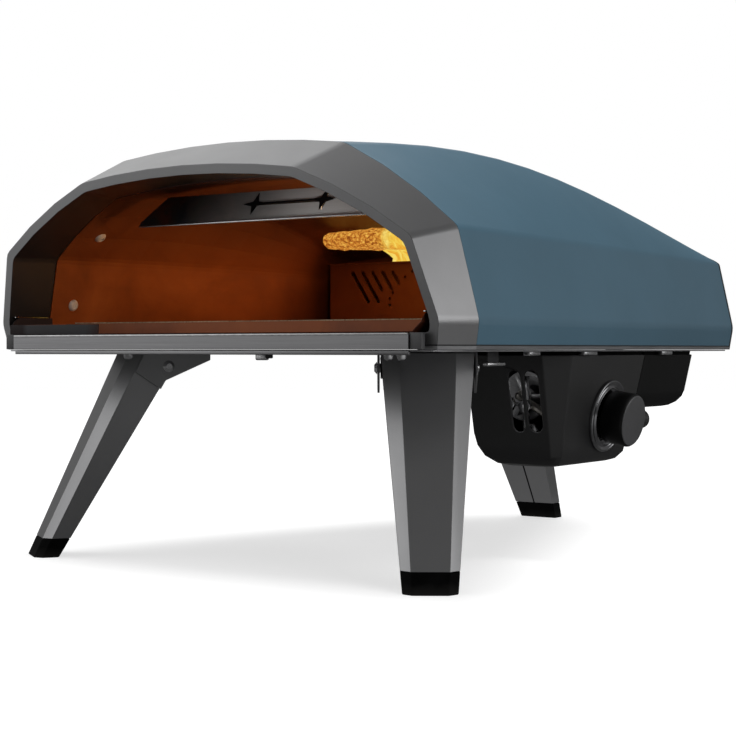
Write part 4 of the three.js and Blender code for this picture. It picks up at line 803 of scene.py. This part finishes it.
def hems():
    """A bright hem round shell and visor with a dark band of painted shade above it for the gap, and a dark
    edge at the shell's rear.
    """
    for name in ("outer_shell", "front_visor"):
        band_round(f"{name}_hem", name, [(HEM_TOP, UP)], "plain_steel", HEM_SPREAD)
        # Painted shade: a black band over shell and visor where the gap above the hem lies.
        band_round(f"{name}_hem_gap_shade", name, [(GAP_TOP, UP), (HEM_TOP, DOWN)], "black_paint", GAP_SPREAD)
    band_round("rear_edge_trim", "outer_shell", [(REAR_TRIM_FRONT, FORWARD)], "black_paint", GAP_SPREAD)


# Trims of sill and tray, in millimetres: name, low corner, high corner, rounding, slot and finish
FRONT_TRIMS = [
    ("front_hem", (-213.0, -300.6, 185.9), (213.0, -297.6, 189.2), 0.5, "brushed_steel", None),
    ("sill_edge", (-213.2, -302.3, 201.3), (213.2, -300.8, 203.0), 0.4, "brushed_steel", SILL_HIGHLIGHT_FINISH),
    ("tray_front", (-222.0, -298.2, 203.5), (-112.0, -296.9, 212.3), 0.3, "brushed_steel", THRESHOLD_FINISH),
]
# The same at the right end, and mirrored at the left
END_TRIMS = [
    ("sill_end", (213.9, -300.5, 190.3), (224.5, -295.0, 203.2), 0.3, "graphite_paint", SHADED_PAINT),
    ("tray_strip", (221.0, -292.0, 218.7), (223.0, -249.6, 220.1), 0.4, "bright_metal", None),
]


def trims():
    """The sill's hem, its edge in brighter steel as a painted highlight, its ends in darker graphite as
    painted shade, and the tray's front and side strips.
    """
    for trim in FRONT_TRIMS:
        bar(*trim)
    for side, sign in SIDES:
        for name, (inner, front, below), (outer, rear, above), *look in END_TRIMS:
            low, high = sorted((sign * inner, sign * outer))
            bar(f"{side}_{name}", (low, front, below), (high, rear, above), *look)


# Clips under the shell's right edge, in millimetres: fronts and rears, and what they share
CLIPS = [(-129.8, -110.6), (-28.9, -3.3), (137.0, 160.6)]
CLIP_LEFT, CLIP_RIGHT = 217.0, 223.5
CLIP_BOTTOM, CLIP_TOP = 184.9, 189.0
CLIP_ROUNDING = 0.8


def pan_clips():
    """The clips that hold the shell's right edge to the pan."""
    for number, (front, rear) in enumerate(CLIPS, 1):
        low, high = (CLIP_LEFT, front, CLIP_BOTTOM), (CLIP_RIGHT, rear, CLIP_TOP)
        bar(f"pan_clip_{number}", low, high, CLIP_ROUNDING, "bright_metal")


def lug():
    """The lug beside the housing: a bright lip on a dark web."""
    bar("lug_lip", (205.0, -177.0, 176.4), (210.5, -147.5, 179.4), 0.8, "bright_metal")
    bar("lug_web", (205.0, -170.0, 178.8), (206.2, -152.0, 188.6), 0.3, "black_paint")


# Screws that hang below the pan near its front edge: profile in millimetres, and places
PAN_SCREW = [(0.0, 0.0), (0.0, 3.2), (2.0, 3.2), (2.2, 4.4), (5.8, 3.9), (7.2, 2.4), (7.2, 0.0)]
PAN_SCREW_PLACES = [(-0.1215, -0.25), (0.1545, -0.24), (0.167, -0.24)]


def pan_fasteners():
    """The screws, strap and latch below the pan's front."""
    for number, (across, deep) in enumerate(PAN_SCREW_PLACES, 1):
        place = (across, deep, PAN_UNDERSIDE)
        name = f"pan_screw_{number}"
        spun(name, PAN_SCREW, place, DOWN, "oven_body", "bright_metal", segments=SCREW_SIDES)
    bar("pan_screw_strap", (150.0, -244.0, 186.4), (171.5, -236.0, 188.4), 0.5, "bright_metal")
    bar("pan_latch", (-13.5, -203.0, 180.6), (-1.5, -197.0, 188.4), 1.5, "bright_metal")
    bar("pan_latch_end", (-1.4, -203.5, 182.2), (2.4, -196.5, 188.4), 1.0, "black_paint")


# Nuts on the injector's strap: profile in millimetres, and places
STRAP_NUT = [(0.0, 0.0), (0.0, 6.8), (3.6, 6.8), (4.4, 6.0), (4.4, 0.0)]
STRAP_NUTS = [
    ("strap_nut_middle", (0.169, -0.0378, 0.1385)),
    ("strap_nut_side", (0.1525, -0.0378, 0.1405)),
    ("strap_nut_low", (0.1755, -0.0378, 0.117)),
]


def injector_strap():
    """The injector's strap with its nuts and arm, seen through the grille."""
    bar("injector_strap", (165.5, -37.6, 108.0), (171.5, -35.6, 166.0), 0.6, "bright_metal")
    for name, place in STRAP_NUTS:
        spun(name, STRAP_NUT, place, FORWARD, "oven_body", "bright_metal", segments=NUT_SIDES)
    bar("strap_arm", (150.0, -37.4, 138.6), (170.0, -35.8, 142.4), 0.5, "bright_metal")


# The dial: its place and axis, and its profiles in millimetres
DIAL_PLACE = (0.208655, 0.04411, 0.1285)
DIAL_AXIS = (0.987688, 0.0, -0.156434)
KNOB = [(6.1, 0.0), (6.1, 24.2), (6.9, 24.9), (25.4, 25.0), (27.0, 24.6), (28.0, 23.6), (28.0, 0.0)]
CAP = [(28.02, 0.0), (28.02, 23.4), (28.5, 23.4), (28.9, 22.9), (29.0, 22.2), (29.0, 0.0)]
BEZEL = [
    (0.3, 4.6), (0.3, 34.0), (2.8, 34.0), (3.7, 33.5), (4.0, 32.6), (3.7, 31.7), (2.7, 30.9), (2.0, 29.6),
    (2.1, 28.2), (3.1, 27.4), (3.6, 26.6), (3.3, 25.8), (2.1, 25.4), (2.0, 24.0), (2.0, 4.6),
]
DIAL_PIECES = [
    ("dial_knob", KNOB, "dial", DIAL_BLACK),
    ("dial_cap", CAP, "dial", DIAL_FACE),
    ("dial_bezel", BEZEL, "oven_body", BEZEL_FINISH),
]


def dial():
    """The knob, its cap and the bezel round it, turned about the dial's axis."""
    for node, profile, body, finish in DIAL_PIECES:
        piece = spun(f"{node}_turned", profile, DIAL_PLACE, DIAL_AXIS, body, "gloss_black", finish)
        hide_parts(node)


# Screws inside the mouth, on its right wall and mirrored on its left: part, place and direction
MOUTH_SCREWS = [
    ("shoulder", (0.1835, -0.221, 0.2948), (0.5645, 0.0293, -0.8249)),
    ("wall", (0.2171, -0.2229, 0.2318), (0.9727, -0.0314, -0.23)),
]
HEAD = [(-0.5, 0.0), (-0.5, 5.6), (0.5, 5.6), (1.6, 5.0), (2.6, 3.6), (2.8, 2.6), (1.6, 2.2), (1.5, 0.0)]


def mouth_screws():
    """Screw heads on the walls just inside the mouth, pale as a painted highlight."""
    for side, sign in SIDES:
        for part, (out, deep, high), (across, back, up) in MOUTH_SCREWS:
            name = f"{side}_{part}_screw"
            place = (sign * out, deep, high)
            axis = (-sign * across, back, up)
            spun(name, HEAD, place, axis, "oven_body", "bright_metal", RIVET_FINISH, SCREW_SIDES)


# The deflector's slot, in millimetres on the plate
STAR_MIDDLES = [(0.5, 18.5), (74.0, 19.2)]
STAR_CORNERS = 8
STAR_REACH = 13.0
STAR_WAIST = 4.0
STAR_SQUASH = 0.9
SLOT_WIDTH = 1.8
SLOT_LIFT = 0.02
STAR_DEPTH = 2.6
STAR_LIFT = 0.25
# The plate's front edge, and the direction up its slope
PLATE_EDGE = (0.0, -0.2302, 0.3018)
PLATE_SLOPE = (0.0, 0.551, 0.8345)


def add_star(shape, middle):
    """A flat star with four points."""
    ring = bmesh.ops.create_circle(shape, cap_ends=True, segments=STAR_CORNERS, radius=1.0)["verts"]
    for vert in ring:
        at_waist = round(math.atan2(vert.co.y, vert.co.x) / (math.tau / STAR_CORNERS)) % 2
        reach = STAR_WAIST if at_waist else STAR_REACH
        across = vert.co.x * reach + middle[0]
        along = vert.co.y * reach * STAR_SQUASH + middle[1]
        vert.co = Vector((across, along, 0.0))


def add_slot(shape):
    """A flat line from the first star to the last."""
    (first, low), (last, high) = STAR_MIDDLES
    line = bmesh.ops.create_grid(shape, x_segments=1, y_segments=1, size=0.5)["verts"]
    for vert in line:
        share = vert.co.x + 0.5
        across = first + share * (last - first)
        along = low + share * (high - low) + vert.co.y * SLOT_WIDTH
        vert.co = Vector((across, along, SLOT_LIFT))


def deflector_slot_shade():
    """The deflector's slot, filled with a black piece as painted shade: a star at each end and a line
    between.
    """
    shape = bmesh.new()
    for middle in STAR_MIDDLES:
        add_star(shape, middle)
    add_slot(shape)
    made = bmesh.ops.extrude_face_region(shape, geom=shape.faces[:])["geom"]
    rear = [part for part in made if isinstance(part, bmesh.types.BMVert)]
    bmesh.ops.translate(shape, vec=(0.0, 0.0, -STAR_DEPTH), verts=rear)
    bmesh.ops.translate(shape, vec=(0.0, 0.0, STAR_LIFT), verts=shape.verts)
    bmesh.ops.recalc_face_normals(shape, faces=shape.faces)
    across, up = Vector(RIGHT), Vector(PLATE_SLOPE)
    turn = Matrix((across, up, across.cross(up))).transposed().to_4x4()
    place = Matrix.Translation(PLATE_EDGE) @ turn @ Matrix.Scale(MM, 4)
    bmesh.ops.transform(shape, matrix=place, verts=shape.verts)
    shape.normal_update()
    # Painted shade: a black plug where the slot shows the dark behind the plate.
    add_piece("deflector_slot_shade", shape, "oven_body", "black_paint", SHADE_MOULDING)


def deflector_lip():
    """The deflector's bright front lip."""
    bar("deflector_lip", (-126.4, -231.0, 300.9), (126.4, -229.2, 302.7), 0.6, "bright_metal")


# The flame's roll under the roof: half sizes, middle, how its ends are squared and lengthened, and its ripple
ROLL_SIZE = (0.122, 0.021, 0.0115)
ROLL_MIDDLE = (-0.025, 0.063, 0.3045)
ROLL_SQUARING = 0.35
ROLL_LENGTHENING = 1.08
ROLL_RIPPLE = 0.0006


def flame_roll():
    """The flame where it rolls forward under the roof."""
    shape = bmesh.new()
    bmesh.ops.create_icosphere(shape, subdivisions=5, radius=1.0)
    bmesh.ops.scale(shape, vec=ROLL_SIZE, verts=shape.verts)
    for vert in shape.verts:
        x, y, z = vert.co
        squared = 1.0 - ROLL_SQUARING * abs(x / ROLL_SIZE[0]) ** 6
        ripple = math.sin(x * 310) + 0.6 * math.sin(x * 730 + y * 500) + 0.5 * math.sin(z * 900 + x * 200)
        rolled = Vector((x * squared * ROLL_LENGTHENING, y / squared ** 2, z / squared ** 2))
        vert.co = rolled + vert.normal * ripple * ROLL_RIPPLE
    bmesh.ops.translate(shape, vec=ROLL_MIDDLE, verts=shape.verts)
    shape.normal_update()
    shade(shape)
    add_piece("flame_roll", shape, "oven_body", "heat_tinted_steel", FLAME_FINISH)


# Depths and heights of the rising flame, from the guard's top to the roll under the roof
FLAME_PATH = [
    (0.1475, 0.2835), (0.1465, 0.289), (0.143, 0.2935), (0.134, 0.2965),
    (0.12, 0.2995), (0.1, 0.304), (0.08, 0.308), (0.066, 0.31),
]
CURTAIN_LEFT = -0.101
CURTAIN_WIDTH = 0.24
CURTAIN_COLUMNS = 120
CURTAIN_THICKNESS = 0.0025
CURTAIN_FLUTTER = 0.0004
CURTAIN_RAGGEDNESS = 0.002


def flame_curtain():
    """The flame that rises behind the guard and bends forward under the roof."""
    shape = bmesh.new()
    steps = len(FLAME_PATH) - 1
    bmesh.ops.create_grid(shape, x_segments=CURTAIN_COLUMNS, y_segments=steps, size=0.5)
    for vert in shape.verts:
        across = vert.co.x + 0.5
        row = round((vert.co.y + 0.5) * steps)
        deep, high = FLAME_PATH[row]
        flutter = math.sin(across * 61 + row) + 0.6 * math.sin(across * 143 + row * 2)
        edge = math.sin(row * 1.9) * CURTAIN_RAGGEDNESS * (1 - across)
        x = CURTAIN_LEFT + across * CURTAIN_WIDTH + edge
        vert.co = Vector((x, deep, high + flutter * CURTAIN_FLUTTER))
    bmesh.ops.recalc_face_normals(shape, faces=shape.faces)
    bmesh.ops.solidify(shape, geom=shape.faces[:], thickness=CURTAIN_THICKNESS)
    bmesh.ops.recalc_face_normals(shape, faces=shape.faces)
    shade(shape)
    add_piece("flame_curtain", shape, "oven_body", "heat_tinted_steel", FLAME_FINISH)


def other_nodes():
    """The nodes that no dressed copy stands for, with their slots' finishes."""
    for node in nodes:
        if f"{node}_dressed" not in bpy.data.objects:
            finish_node(node)


place_camera()
studio()
sheets()
legs()
for housing in ("control_housing", "tail_box"):
    shade_seal_over(housing)
hems()
trims()
pan_clips()
lug()
pan_fasteners()
injector_strap()
dial()
mouth_screws()
deflector_slot_shade()
deflector_lip()
flame_roll()
flame_curtain()
other_nodes()
